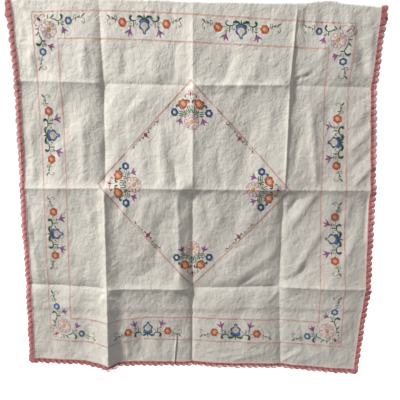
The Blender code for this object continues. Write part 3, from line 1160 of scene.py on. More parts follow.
    def ground(self, material: bpy.types.Material) -> bpy.types.Object:
        """The strands that lie low behind the posts, as one thin band that no light comes through, coloured
        all in painted shade: it carries no height, so the shells' yarn gives it its deep rose everywhere.

        Args:
            material: its finish.

        Returns:
            The band as one plain mesh.
        """
        roots, headings = [], []
        for corner, length, heading in self.sides():
            along = hem_ways(heading)[0]
            steps = round(length / self.shell_pitch) * self.ground_steps
            roots += [corner + along * length * step / steps for step in range(steps)]
            headings += [heading] * steps
            roots += [corner + along * length] * self.ground_steps
            headings += [heading + math.pi / 2 * step / self.ground_steps
                         for step in range(self.ground_steps)]
        outs = np.stack((np.sin(headings), -np.cos(headings)), axis=1)
        rim = self.depth - self.notch_depth - self.ground_inset
        flat = np.concatenate([np.array(roots) + outs * reach for reach in (self.ground_root, rim / 2, rim)])
        count = len(roots)
        first = np.arange(count)
        after = (first + 1) % count
        faces = [np.stack((after + row, first + row, first + row + count, after + row + count), axis=1)
                 for row in (0, count)]
        mesh = bpy.data.meshes.new("crochet_ground")
        points = self.form.place(flat[:, 0], flat[:, 1])
        mesh.from_pydata(points.tolist(), [], np.concatenate(faces).tolist())
        # The band takes the shells' yarn, whose painted shade covers it all over, since it carries no height
        mesh.materials.append(material)
        mesh.shade_smooth()
        return thickened(mesh_piece("crochet_ground", mesh), self.ground_thickness)

    def build(self, tool: ThreadSweep, rose: bpy.types.Material, fine_tool: ThreadSweep,
              pale: bpy.types.Material) -> list[bpy.types.Object]:
        """Work the edging, one piece for each side with the corner after it, and the row on the hem.

        Args:
            tool: what sweeps the shells' yarn.
            rose: the shells' yarn, with painted shade low in the stitches.
            fine_tool: what sweeps the yarn of the stitches over the hem.
            pale: the paler yarn of the stitches over the hem.

        Returns:
            The pieces, with the hem's row and the band of low strands in painted shade last.
        """
        pieces, hem = [], Guides()
        chance = np.random.default_rng(self.seed)
        for name, (corner, length, heading) in zip(("bottom", "right", "top", "left"), self.sides()):
            guides = Guides()
            count = round(length / self.shell_pitch)
            along = hem_ways(heading)[0]
            for number in range(count):
                full = 1.0 + self.uneven * chance.uniform(self.shortest, self.longest)
                self.shell(guides, corner + along * length * (number + 0.5) / count, heading, 1.0, full)
            for number in range(self.corner_shells):
                turn = math.pi / 2 * (number + 0.5) / self.corner_shells
                self.shell(guides, corner + along * length, heading + turn, self.corner_share, 1.0)
            self.base_row(guides, hem, corner, length, heading)
            pieces.append(guides.sweep(f"crochet_{name}", self.form, tool, rose))
        return pieces + [hem.sweep("crochet_hem_row", self.form, fine_tool, pale), self.ground(rose)]


def soft_path(points: Sequence[Sequence[float]], pitch: float) -> Array:
    """Read even steps along a soft curve through points; columns past the first two ride along.

    Args:
        points: rows of x, y and any more values.
        pitch: the wanted step, in the points' unit.

    Returns:
        One row for each step, both ends included.
    """
    rows = np.asarray(points, float)
    padded = np.vstack((2 * rows[0] - rows[1], rows, 2 * rows[-1] - rows[-2]))
    share = np.linspace(0.0, 1.0, 12, endpoint=False)[:, None]
    parts = []
    for before, start, end, after in zip(padded, padded[1:], padded[2:], padded[3:]):
        parts.append(0.5 * (2 * start + (end - before) * share
                            + (2 * before - 5 * start + 4 * end - after) * share ** 2
                            + (3 * start - before - 3 * end + after) * share ** 3))
    dense = np.vstack(parts + [rows[-1:]])
    run = np.concatenate(((0.0,), np.cumsum(np.hypot(*np.diff(dense[:, :2], axis=0).T))))
    steps = max(round(run[-1] / pitch), 1)
    at = np.linspace(0.0, run[-1], steps + 1)
    return np.column_stack([np.interp(at, run, column) for column in dense.T])


def across_path(path: Array) -> Array:
    """Unit directions square to a path, one for each of its rows.

    Args:
        path: rows of x, y and any more values.

    Returns:
        The directions.
    """
    ahead = np.gradient(path[:, :2], axis=0)
    ahead /= np.maximum(np.hypot(*ahead.T), 1e-9)[:, None]
    return np.stack((-ahead[:, 1], ahead[:, 0]), axis=1)


@dataclass(frozen=True)
class Spot:
    """Where a motif goes on the flat cloth: its own origin and axes, in millimetres."""

    origin: Point
    right: Point
    up: Point

    def carry(self, points: Array) -> Array:
        """Turn a motif's own places into places on the flat cloth."""
        return (np.array(self.origin) + points[..., :1] * np.array(self.right)
                + points[..., 1:2] * np.array(self.up))


@dataclass
class Needle:
    """Lays stitches in millimetres and keeps them by thread.

    The cloth has shrunk more across than along, so the design is stretched a little upwards.
    """

    stretch: float = 1.07
    strand: float = 0.46
    satin_pitch: float = 0.80
    stem_pitch: float = 2.4
    fullness: float = 1.4
    least_width: float = 1.3
    line_strand: float = 0.62
    foot_lift: float = 0.2
    crown_lift: float = 0.25
    crown_share: float = 0.7
    end_taper: float = 0.6
    leaf_crown: float = 0.35
    width_crown: float = 0.06
    guides: dict[Floss, Guides] = field(default_factory=lambda: defaultdict(Guides))

    def lay(self, spot: Spot, floss: Floss, starts: Array, ends: Array, strand: float | Array,
            crown: float | Array) -> None:
        """Lay straight stitches.

        Args:
            spot: the motif's place.
            floss: the thread.
            starts: where the needle comes up, one row each.
            ends: where it goes down.
            strand: the thread's radius in mm.
            crown: how high the stitch's middle stands off the cloth in mm.
        """
        middles = (starts + ends) / 2
        flat = spot.carry(np.stack((starts, middles, ends), axis=1)) * MILLIMETRE
        flat[..., 1] *= self.stretch
        across, up = flat[..., 0].ravel(), flat[..., 1].ravel()
        drift = [read_table(DRIFTS, DRIFT_COLUMNS, name, across, up) for name in ("across", "up")]
        flat += np.stack(drift, axis=-1).reshape(flat.shape)
        shape = flat.shape[:2]
        crown = np.broadcast_to(crown, shape[:1])
        strand = np.broadcast_to(strand, shape[:1])
        foot, end = np.full_like(crown, self.foot_lift, float), self.end_taper * strand
        middle = self.crown_lift + self.crown_share * crown
        lifts = np.stack((foot, middle, foot), axis=1) * MILLIMETRE
        girths = np.stack((end, strand, end), axis=1) * MILLIMETRE
        self.guides[floss].add_stitches(np.concatenate(
            (flat, lifts[..., None], girths[..., None]), axis=2))

    def stem(self, spot: Spot, floss: Floss, points: Sequence[Point], strand: float | None = None,
             pitch: float | None = None) -> None:
        """Work a line in stem stitch: slanting stitches that overlap like a rope.

        Args:
            spot: the motif's place.
            floss: the thread.
            points: places along the line.
            strand: the thread's radius in mm, if not the usual one.
            pitch: the length of a stitch in mm, likewise.
        """
        pitch, strand = pitch or self.stem_pitch, strand or self.line_strand
        path = soft_path(points, pitch / 2)
        if len(path) < 4:
            path = soft_path(points, np.hypot(*(np.subtract(points[-1][:2], points[0][:2]))) / 4)
        side = across_path(path) * strand * 0.45
        starts = (path[:, :2] - side)[:-3:2]
        ends = (path[:, :2] + side)[3::2]
        self.lay(spot, floss, starts, ends[:len(starts)], strand, 0.5 * strand)

    def band(self, spot: Spot, floss: Floss, points: Sequence[Sequence[float]],
             slant: float = 0.35) -> None:
        """Fill a leaf or scroll with satin stitch.

        Args:
            spot: the motif's place.
            floss: the thread.
            points: rows of x, y and width along the middle of the leaf.
            slant: how far the stitches lean, as a share of half their length.
        """
        path = soft_path(points, self.satin_pitch)
        side = across_path(path)
        half = np.maximum(path[:, 2:3] * self.fullness, self.least_width) / 2
        ahead = np.stack((side[:, 1], -side[:, 0]), axis=1) * half * slant
        starts = path[:, :2] + side * half + ahead
        ends = path[:, :2] - side * half - ahead
        crowns = self.leaf_crown + self.width_crown * path[:, 2]
        self.lay(spot, floss, starts, ends, self.strand, crowns)

    def work(self, spot: Spot, rows: Rows) -> None:
        """Work leaves and lines in turn.

        Args:
            spot: the motif's place.
            rows: a thread and its places, each with a width for a leaf and without for a line, then the
                slant of a leaf's stitches or a line's strand if they aren't the usual ones.
        """
        for floss, points, *more in rows:
            tool = self.band if len(points[0]) > 2 else self.stem
            tool(spot, floss, points, *more)

    def fill(self, spot: Spot, floss: Floss, outer: Sequence[Point], inner: Sequence[Point],
             reach: tuple[float, float] = (0.0, 1.0), crown: float = 0.6) -> None:
        """Fill between an outer and an inner outline with satin stitch.

        Args:
            spot: the motif's place.
            floss: the thread.
            outer: points along the outer outline.
            inner: as many points along the inner one.
            reach: where stitches start and end, as shares from the outer outline to the inner.
            crown: how high the stitches stand in mm.
        """
        rows = np.column_stack((outer, inner))
        path = soft_path(rows, self.satin_pitch)
        span = path[:, 2:] - path[:, :2]
        self.lay(spot, floss, path[:, :2] + span * reach[0], path[:, :2] + span * reach[1],
                 self.strand, crown)

    def spokes(self, spot: Spot, floss: Floss, centre: Point, inner: float, outer: float,
               lobes: int = 0, depth: float = 0.0, crown: float = 0.6) -> None:
        """Work radial stitches from an inner circle to a lobed outer outline.

        Args:
            spot: the motif's place.
            floss: the thread.
            centre: the middle of both circles.
            inner: the inner radius in mm.
            outer: the radius of the lobes' crowns.
            lobes: how many lobes there are, or none.
            depth: how far the notches between them reach in.
            crown: how high the stitches stand.
        """
        count = max(round(2 * math.pi * outer / (self.satin_pitch * 1.12)), 6)
        angles = np.arange(count) * 2 * math.pi / count
        reach = outer - depth + depth * np.abs(np.cos(angles * lobes / 2)) if lobes else outer
        ways = np.stack((np.cos(angles), np.sin(angles)), axis=1)
        middle = np.array(centre)
        starts = middle + ways * np.broadcast_to(reach, angles.shape)[:, None]
        self.lay(spot, floss, starts, middle + ways * inner, self.strand * 1.1, crown)


@dataclass(frozen=True)
class RingFlower:
    """A small round flower: lobed satin petals with a darker or lighter rim, round a pale eye."""

    petals: Floss
    rim: Floss
    radius: float = 9.8
    eye: float = 4.2
    lobes: int = 6
    notch: float = 1.7
    rim_inset: float = 0.2
    rim_width: float = 2.2

    def stitch(self, needle: Needle, spot: Spot, centre: Point) -> None:
        """Work the flower.

        Args:
            needle: what lays the stitches.
            spot: the motif's place.
            centre: the flower's middle.
        """
        needle.spokes(spot, self.petals, centre, self.eye, self.radius, self.lobes, self.notch)
        rim = self.radius - self.rim_inset
        needle.spokes(spot, self.rim, centre, rim - self.rim_width, rim, self.lobes, self.notch,
                      crown=0.75)
        if self.petals is Floss.ORANGE:
            needle.spokes(spot, Floss.PEACH, centre, 0.8, self.eye + 0.3, crown=0.8)
        else:
            needle.spokes(spot, Floss.CREAM, centre, 0.9, 2.6, crown=0.4)


@dataclass(frozen=True)
class Tulip:
    """A purple bell of three pointed petals on a short neck."""

    base: Point
    tips: tuple[Point, Point, Point]
    widths: tuple[float, ...] = (4.2, 4.6, 4.2)
    throat_share: float = 0.42
    belly_share: float = 0.35

    def stitch(self, needle: Needle, spot: Spot) -> None:
        """Work the bell, each petal as a leaf of satin stitch from the neck.

        Args:
            needle: what lays the stitches.
            spot: the motif's place.
        """
        base = np.array(self.base)
        middle = np.mean(self.tips, axis=0)
        throat = base + (middle - base) * self.throat_share
        for tip, widest in zip(self.tips, self.widths):
            belly = throat + (np.array(tip) - throat) * self.belly_share
            needle.band(spot, Floss.PURPLE, [(*throat, 1.8), (*belly, widest), (*tip, 1.3)])
        needle.band(spot, Floss.PLUM, [(*base, 0.9), (*(base + (throat - base) * 0.6), 2.4),
                                       (*throat, 5.0), (*(base + (middle - base) * 0.62), 3.0)])


@dataclass(frozen=True)
class Rose:
    """A large open rose: pale long-and-short petals with stitched outlines and a golden eye."""

    radius: float = 18.6
    eye: float = 6.2
    petals: int = 9

    def stitch(self, needle: Needle, spot: Spot, centre: Point) -> None:
        """Work the fill, the petal outlines and the eye.

        Args:
            needle: what lays the stitches.
            spot: the motif's place.
            centre: the flower's middle.
        """
        middle = np.array(centre)
        for floss, inner, outer in ((Floss.CREAM, self.eye, 0.55 * self.radius),
                                    (Floss.ROSE, 0.45 * self.radius, self.radius - 0.4)):
            needle.spokes(spot, floss, centre, inner, outer, self.petals, 2.2, 0.1)
        for number in range(self.petals):
            angle = 2 * math.pi * (number + 0.5) / self.petals
            half = math.pi / self.petals
            outline = []
            for turn, reach in ((-0.62, 0.42), (-0.95, 0.74), (-0.72, 0.95), (0.0, 1.0), (0.72, 0.95),
                                (0.95, 0.74), (0.62, 0.42)):
                way = angle + turn * half
                outline.append(middle + self.radius * reach * np.array((math.cos(way), math.sin(way))))
            needle.stem(spot, Floss.BLUSH, outline, 0.72, 2.0)
            fold = [middle + self.radius * reach * np.array((math.cos(angle + turn * half),
                                                             math.sin(angle + turn * half)))
                    for turn, reach in ((-0.4, 0.5), (0.0, 0.66), (0.4, 0.5))]
            needle.stem(spot, Floss.BLUSH, fold, 0.45, 1.8)
        needle.spokes(spot, Floss.GOLD, centre, 2.4, self.eye, crown=0.8)
        needle.spokes(spot, Floss.GOLD, centre, 0.4, 3.0, crown=1.0)


def mirrored(spot: Spot) -> tuple[Spot, Spot]:
    """A motif's place, and the same place seen in a mirror."""
    return spot, Spot(spot.origin, (-spot.right[0], -spot.right[1]), spot.up)


@dataclass(frozen=True)
class BorderSpray:
    """A blue flower between scrolls, orange flowers, purple bells and tendrils; its up is outwards."""

    flower: RingFlower = RingFlower(Floss.ORANGE, Floss.RUST, 11.4, 4.6)
    arm_rows: Rows = (
        (Floss.GREEN, ((1.4, 14.0, 1.2), (6, 18.6, 3.4), (12.6, 21.0, 4.4), (18.6, 20.0, 3.6),
                       (20.9, 15.6, 1.0))),
        (Floss.MOSS, ((10.5, 16.4), (15.0, 17.8), (18.4, 15.6))),
        (Floss.GREEN, ((34.6, 20.6, 3.4), (36.8, 21.8, 5.4), (39.0, 17.8, 4.8), (36.6, 13.0, 3.4),
                       (31.6, 10.9, 2.4), (25.4, 11.4, 1.8), (19.8, 13.6, 1.4), (15.2, 15.4, 1.0))),
        (Floss.MOSS, ((28.6, 10.6, 1.2), (29.4, 4.2, 2.4), (29.0, -3.8, 1.0))),
        (Floss.MOSS, ((24.4, 11.0), (22.8, 6.4), (25.0, 3.4))),
        (Floss.MOSS, ((17.4, 4.8, 2.6), (18.6, 2.6, 1.6), (21.6, 2.2, 0.6))),
        (Floss.OLIVE, ((49.6, 7.0), (44.6, 9.4), (39.0, 8.8), (35.0, 5.6), (37.4, 2.8), (41.0, 3.8),
                       (40.4, 6.6))),
        (Floss.MOSS, ((33.4, 0.4, 0.8), (37.4, -1.4, 2.4), (42.4, -1.8, 0.8))),
    )

    def stitch(self, needle: Needle, spot: Spot) -> None:
        """Work the spray: the flower in the middle, then both arms.

        Args:
            needle: what lays the stitches.
            spot: the motif's place.
        """
        self.heart(needle, spot)
        for half in mirrored(spot):
            self.arm(needle, half)

    def heart(self, needle: Needle, spot: Spot) -> None:
        """Work the blue flower, its lattice and the small leaf above it.

        Args:
            needle: what lays the stitches.
            spot: the motif's place.
        """
        outer = ((0, 11.6), (3.2, 15.0), (8.2, 15.8), (13.0, 13.8), (14.8, 9.8), (13.2, 6.0), (11.4, 3.8),
                 (13.8, 1.4), (14.8, -2.6), (12.2, -6.8), (7.6, -9.4), (4.4, -11.6), (3.4, -13.6),
                 (4.3, -16.2), (2.6, -18.4), (0, -19.0))
        inner = ((0, 7.8), (1.8, 7.4), (3.6, 6.8), (5.4, 6.0), (6.8, 5.0), (7.6, 3.8), (8.4, 2.4),
                 (9.2, 0.8), (9.2, -1.4), (7.8, -4.2), (5.2, -6.9), (2.8, -9.2), (1.4, -11.6),
                 (1.0, -13.6), (0.6, -15.4), (0, -16.0))
        for half in mirrored(spot):
            needle.fill(half, Floss.BLUE, outer, inner)
            needle.fill(half, Floss.NAVY, outer, inner, (0.0, 0.42), 0.85)
            needle.stem(half, Floss.CREAM, inner[:-4], 0.4)
        self.lattice(needle, spot, np.array(inner[:-3]))
        needle.band(spot, Floss.GREEN, ((0, 13.6, 2.0), (0, 19.0, 3.4), (0, 25.6, 0.8)))

    def lattice(self, needle: Needle, spot: Spot, edge: Array) -> None:
        """Work the eye: pale fill with slanting bars laid over it both ways.

        Args:
            needle: what lays the stitches.
            spot: the motif's place.
            edge: the right half of the eye's outline.
        """
        ring = np.vstack((edge, edge[::-1] * (-1, 1)))
        for way, floss, gap, crown, strand in ((math.pi / 2, Floss.CREAM, 1.0, 0.2, 0.46),
                                               (math.pi / 4, Floss.GOLD, 4.2, 0.6, 0.28),
                                               (-math.pi / 4, Floss.GOLD, 4.2, 0.8, 0.28)):
            along = np.array((math.cos(way), math.sin(way)))
            aside = np.array((-along[1], along[0]))
            for offset in np.arange(-11.0, 11.1, gap):
                on_bar = ring[np.abs(ring @ aside - offset) < 1.6]
                if len(on_bar) > 1:
                    runs = on_bar @ along
                    ends = [aside * offset + along * run for run in (runs.min() + 0.4, runs.max() - 0.4)]
                    needle.lay(spot, floss, np.array([ends[0]]), np.array([ends[1]]), strand, crown)

    def arm(self, needle: Needle, spot: Spot) -> None:
        """Work one arm, from the arching leaf to the tendril's end.

        Args:
            needle: what lays the stitches.
            spot: the motif's place.
        """
        needle.work(spot, self.arm_rows)
        Tulip((37.6, -3.0), ((32.8, -22.6), (43.8, -25.0), (53.2, -16.8))).stitch(needle, spot)
        self.flower.stitch(needle, spot, (59.4, 6.6))
        EndTendril().stitch(needle, Spot(tuple(spot.carry(np.array((68.8, 8.6)))),
                                         (0.92 * spot.right[0], 0.92 * spot.right[1]), spot.up))


@dataclass(frozen=True)
class EndTendril:
    """The curling vine that ends an arm: loops, a small leaf and two dark ones."""

    rows: Rows = (
        (Floss.OLIVE, ((0, 0), (6.0, 3.4), (13.6, 5.8), (21.0, 4.6), (26.6, 6.0))),
        (Floss.OLIVE, ((6.0, 3.4), (4.6, 9.4), (8.6, 12.4), (12.4, 9.4), (9.4, 6.8))),
        (Floss.MOSS, ((11.6, 5.4, 0.9), (9.6, 2.0, 2.1), (9.2, -1.6, 0.8))),
        (Floss.GREEN, ((13.6, 6.0, 0.9), (17.6, 6.6, 2.4), (21.4, 9.4, 0.8))),
        (Floss.GREEN, ((24.6, 6.4, 0.9), (29.0, 10.6, 2.7), (34.6, 13.8, 0.8))),
        (Floss.OLIVE, ((26.6, 6.0), (31.6, 2.6), (32.6, -4.6), (28.6, -8.2), (25.2, -5.2), (27.6, -3.0))),
    )

    def stitch(self, needle: Needle, spot: Spot) -> None:
        """Work the tendril, from the flower it leaves."""
        needle.work(spot, self.rows)


@dataclass(frozen=True)
class CornerSpray:
    """A rose and a bud in the frame's corner, with an arm along each side; right and up are the sides."""

    flower: RingFlower = RingFlower(Floss.BLUE, Floss.NAVY)
    arm_rows: Rows = (
        (Floss.BLUSH, ((9.4, 14.4), (7.6, 9.6), (11.2, 5.8), (15.6, 8.2), (17.2, 12.4))),
        (Floss.BLUSH, ((17.2, 12.4), (20.6, 8.4), (26.0, 5.8), (31.0, 8.0))),
        (Floss.BLUSH, ((30.0, 7.4, 1.0), (32.6, 9.6, 2.2), (32.0, 12.2, 1.0))),
        (Floss.BLUSH, ((22.6, 17.0), (25.4, 20.4), (24.4, 25.0))),
        (Floss.MOSS, ((30.0, 26.0), (31.6, 20.4), (36.6, 16.2), (44.0, 15.6), (49.0, 13.4))),
        (Floss.GREEN, ((47.6, 14.6, 0.9), (52.0, 12.0, 2.8), (56.4, 6.8, 0.8))),
        (Floss.MOSS, ((39.6, 15.8, 0.9), (40.4, 11.6, 2.4), (40.0, 6.6, 0.8))),
        (Floss.MOSS, ((48.0, 16.0, 0.9), (56.0, 17.2, 1.8), (62.4, 20.4, 2.2), (68.0, 22.0, 1.6))),
        (Floss.GREEN, ((67.0, 22.2, 1.2), (73.4, 20.0, 2.4), (77.8, 15.4, 3.8), (77.8, 10.6, 5.2),
                       (74.2, 8.4, 3.6))),
        (Floss.MOSS, ((68.0, 21.6, 1.4), (68.8, 27.0, 2.9), (68.4, 32.4, 0.8))),
        (Floss.OLIVE, ((71.6, 28.4), (74.6, 24.4), (79.4, 21.4), (82.0, 24.6), (78.6, 27.0), (74.0, 28.8))),
        (Floss.MOSS, ((73.6, 29.4, 0.9), (78.0, 31.0, 2.2), (83.0, 30.8, 0.8))),
    )

    def stitch(self, needle: Needle, spot: Spot) -> None:
        """Work the rose and the bud, then an arm along each side.

        Args:
            needle: what lays the stitches.
            spot: the motif's place.
        """
        Rose(20.2).stitch(needle, spot, (41.6, 41.6))
        needle.band(spot, Floss.MAGENTA, ((12.6, 12.6, 1.4), (17.4, 17.4, 5.2), (21.8, 21.8, 1.6)), 0.1)
        for arm in (spot, Spot(spot.origin, spot.up, spot.right)):
            self.arm(needle, arm)

    def arm(self, needle: Needle, spot: Spot) -> None:
        """Work the curls by the bud and the vine, hook, blue flower and bell of one arm.

        Args:
            needle: what lays the stitches.
            spot: the motif's place.
        """
        needle.work(spot, self.arm_rows)
        self.flower.stitch(needle, spot, (94.0, 22.0))
        Tulip((77.4, 34.4), ((75.6, 50.8), (83.0, 52.4), (91.4, 46.0))).stitch(needle, spot)
        tail = Spot(tuple(spot.carry(np.array((103.4, 20.4)))), spot.right, (-spot.up[0], -spot.up[1]))
        EndTendril().stitch(needle, tail)


@dataclass(frozen=True)
class DiamondSpray:
    """The bouquet in the diamond's point; its up runs from the point to the middle of the cloth."""

    flower: RingFlower = RingFlower(Floss.NAVY, Floss.BLUE, 11.0, 4.2)
    axis_rows: Rows = (
        (Floss.MAGENTA, ((0, 26.6, 1.2), (0, 32.6, 4.8), (0, 38.0, 1.6)), 0.1),
        (Floss.OLIVE, ((0, 38.6), (1.4, 44.0), (0.2, 50.0))),
    )
    half_rows: Rows = (
        (Floss.BLUSH, ((0, 22.4), (4.4, 25.8), (5.8, 31.0), (4.0, 36.6)), 0.8),
        (Floss.MAGENTA, ((3.6, 37.4), (8.0, 33.8), (12.6, 33.8), (14.8, 37.4))),
        (Floss.MAGENTA, ((14.4, 36.0, 1.2), (15.6, 39.4, 2.6), (14.2, 42.4, 1.0))),
        (Floss.GREEN, ((10.4, 49.0, 1.4), (6.8, 49.2, 2.6), (4.4, 52.2, 3.8), (5.6, 55.4, 2.6))),
        (Floss.GREEN, ((27.0, 73.0, 1.4), (32.0, 65.8, 2.2), (37.0, 62.0, 3.0), (40.6, 64.2, 4.4),
                       (40.0, 68.0, 3.0))),
        (Floss.MOSS, ((20.6, 89.4, 1.0), (27.6, 89.4, 2.8), (34.6, 88.8, 1.2))),
        (Floss.MOSS, ((17.0, 85.0, 1.0), (26.0, 84.4, 2.3), (36.0, 83.0, 1.2))),
        (Floss.MOSS, ((20.0, 80.4, 1.0), (26.8, 78.8, 2.2), (34.4, 77.0, 1.0))),
        (Floss.GREEN, ((19.6, 73.6, 1.4), (19.4, 78.2, 2.0), (14.6, 82.8, 1.8), (8.6, 84.0, 0.9))),
        (Floss.MOSS, ((15.0, 83.0, 1.0), (17.6, 88.6, 2.2), (18.6, 93.4, 0.8))),
        (Floss.MOSS, ((4.0, 81.6), (9.6, 77.0), (6.6, 72.4), (10.2, 67.6), (7.4, 63.0)), 1.1),
        (Floss.MOSS, ((1.0, 80.0), (4.6, 75.6), (1.4, 71.0), (4.2, 66.2), (1.6, 61.8)), 1.1),
        (Floss.OLIVE, ((12.4, 80.8), (15.4, 76.6), (12.0, 73.0)), 1.1),
        (Floss.MOSS, ((5.6, 79.6, 0.8), (2.8, 77.0, 1.9), (1.0, 72.8, 0.7))),
    )

    def stitch(self, needle: Needle, spot: Spot) -> None:
        """Work the rose and the bud on the axis, then both halves.

        Args:
            needle: what lays the stitches.
            spot: the motif's place.
        """
        Rose(20.2, 6.0).stitch(needle, spot, (0.0, 103.5))
        needle.work(spot, self.axis_rows)
        for half in mirrored(spot):
            self.half(needle, half)

    def half(self, needle: Needle, spot: Spot) -> None:
        """Work one half: curls, orange flower, blue flower, leaves and bell.

        Args:
            needle: what lays the stitches.
            spot: the motif's place.
        """
        needle.work(spot, self.half_rows)
        self.poppy(needle, spot)
        self.flower.stitch(needle, spot, (47.0, 80.6))
        Tulip((28.0, 92.4), ((25.4, 110.2), (34.8, 111.6), (43.0, 104.4))).stitch(needle, spot)

    def poppy(self, needle: Needle, spot: Spot, eye: float = 6.6) -> None:
        """Work the lopsided orange flower.

        Args:
            needle: what lays the stitches.
            spot: the motif's place.
            eye: the eye's radius in mm.
        """
        outer = ((9.8, 57.4), (8.8, 51.6), (12.2, 46.8), (17.2, 48.2), (21.6, 45.4), (26.2, 47.8),
                 (28.8, 50.4), (33.6, 51.0), (36.0, 56.4), (33.4, 61.8), (29.6, 63.0), (28.2, 68.0),
                 (23.4, 71.8), (17.6, 70.0), (13.0, 65.2), (9.8, 57.4))
        centre = np.array((21.4, 57.6))
        spans = np.array(outer) - centre
        inner = centre + spans * (eye / np.hypot(*spans.T))[:, None]
        needle.fill(spot, Floss.ORANGE, outer, inner)
        needle.fill(spot, Floss.RUST, outer, inner, (0.0, 0.5), 0.85)
        needle.fill(spot, Floss.PEACH, inner, [centre] * len(inner), (0.0, 0.9), 0.7)


@dataclass(frozen=True)
class SideVine:
    """The bud in the middle of each of the diamond's sides, with a thin vine both ways; up is inwards."""

    vine_rows: Rows = (
        (Floss.BLUSH, ((2.0, 4.0), (4.8, 8.8), (3.2, 14.6))),
        (Floss.OLIVE, ((3.0, 4.4), (8.6, 8.6), (13.4, 6.4), (12.2, 3.4), (9.6, 5.2))),
        (Floss.MOSS, ((8.0, 8.8, 0.8), (11.2, 10.2, 2.0), (14.6, 9.2, 0.7))),
        (Floss.OLIVE, ((13.4, 5.8), (20.0, 3.6), (26.0, 5.6), (31.0, 3.6))),
        (Floss.MOSS, ((20.0, 3.8, 0.8), (22.4, 6.6, 1.9), (21.8, 9.4, 0.7))),
        (Floss.OLIVE, ((31.0, 3.6), (36.6, 7.4), (41.0, 5.6), (39.6, 3.2))),
        (Floss.OLIVE, ((37.0, 7.0), (45.0, 4.2), (52.0, 6.8), (57.6, 4.2))),
        (Floss.MOSS, ((45.0, 4.4, 0.8), (48.0, 7.8, 1.9), (51.6, 9.6, 0.7))),
    )

    def stitch(self, needle: Needle, spot: Spot) -> None:
        """Work the bud and both halves of the vine.

        Args:
            needle: what lays the stitches.
            spot: the motif's place.
        """
        needle.band(spot, Floss.MAGENTA, ((0, 1.6, 1.4), (0, 4.6, 4.2), (0, 9.4, 6.8), (0, 13.6, 3.0),
                                          (0.6, 20.0, 1.0)), 0.1)
        for half in mirrored(spot):
            needle.work(half, self.vine_rows)


@dataclass
class Embroidery:
    """The whole design on the flat cloth: three frames and the sprays, alike in all four quarters."""

    form: HungForm
    outer_frame: float = 422.0
    inner_frame: float = 359.0
    diamond: float = 273.0
    spray_offset: float = 127.0
    line_width: float = 4.4
    line_strand: float = 0.62
    line_lean: float = 0.8
    line_pitch: float = 1.9
    line_drift: float = 0.26

    def frames(self, needle: Needle) -> None:
        """Work the two square frames and the diamond in coral, as ropes of short slanting stitches.

        Args:
            needle: what lays the stitches.
        """
        flat = Spot((0.0, 0.0), (1.0, 0.0), (0.0, 1.0))
        half = np.array(((-1, -1), (1, -1), (1, 1), (-1, 1), (-1, -1)), float)
        point = np.array(((0, -1), (1, 0), (0, 1), (-1, 0), (0, -1)), float)
        for shape, reach in ((half, self.outer_frame), (half, self.inner_frame), (point, self.diamond)):
            for start, end in zip(shape * reach, shape[1:] * reach):
                path = soft_path((start, end), self.line_pitch)
                side = across_path(path) * self.line_width / 2
                lean = -self.line_lean if start[1] == end[1] else self.line_lean
                slant = side + np.stack((side[:, 1], -side[:, 0]), axis=1) * lean
                needle.lay(flat, Floss.CORAL, path + slant, path - slant, self.line_strand, 0.0)

    def spots(self) -> list[tuple[object, Spot]]:
        """Every motif with its place, one quarter turn after another.

        Returns:
            Pairs of a motif and its place.
        """
        middle = (self.outer_frame + self.inner_frame) / 2
        found = []
        for turn in range(4):
            cosine, sine = (1, 0, -1, 0)[turn], (0, 1, 0, -1)[turn]
            out = np.array((-sine, cosine), float)
            side = np.array((cosine, sine), float)
            for offset in (-self.spray_offset, self.spray_offset):
                origin = tuple(out * middle + side * offset)
                found.append((BorderSpray(), Spot(origin, tuple(side), tuple(out))))
            corner = (out - side) * self.outer_frame
            found.append((CornerSpray(), Spot(tuple(corner), tuple(side), tuple(-out))))
            found.append((DiamondSpray(), Spot(tuple(out * self.diamond), tuple(side), tuple(-out))))
            edge = (out - side) * self.diamond / 2
            inward = (side - out) / math.sqrt(2)
            found.append((SideVine(), Spot(tuple(edge), tuple((out + side) / math.sqrt(2)), tuple(inward))))
        return found

    def build(self, tool: ThreadSweep) -> list[bpy.types.Object]:
        """Stitch the design, one piece for each thread.

        Args:
            tool: what sweeps the floss.

        Returns:
            The pieces, in the order in which their threads are first used.
        """
        needle = Needle()
        self.frames(needle)
        for motif, spot in self.spots():
            motif.stitch(needle, spot)
        pieces = []
        for floss, guides in needle.guides.items():
            name = f"{floss.name.lower()}_stitches"
            drift = self.line_drift if floss is Floss.CORAL else TwistedYarn.drift
            yarn = TwistedYarn(f"stranded_cotton_{floss.name.lower()}", floss.colour, drift)
            piece = guides.sweep(name, self.form, tool, yarn.material())
            pieces.append(piece)
        return pieces


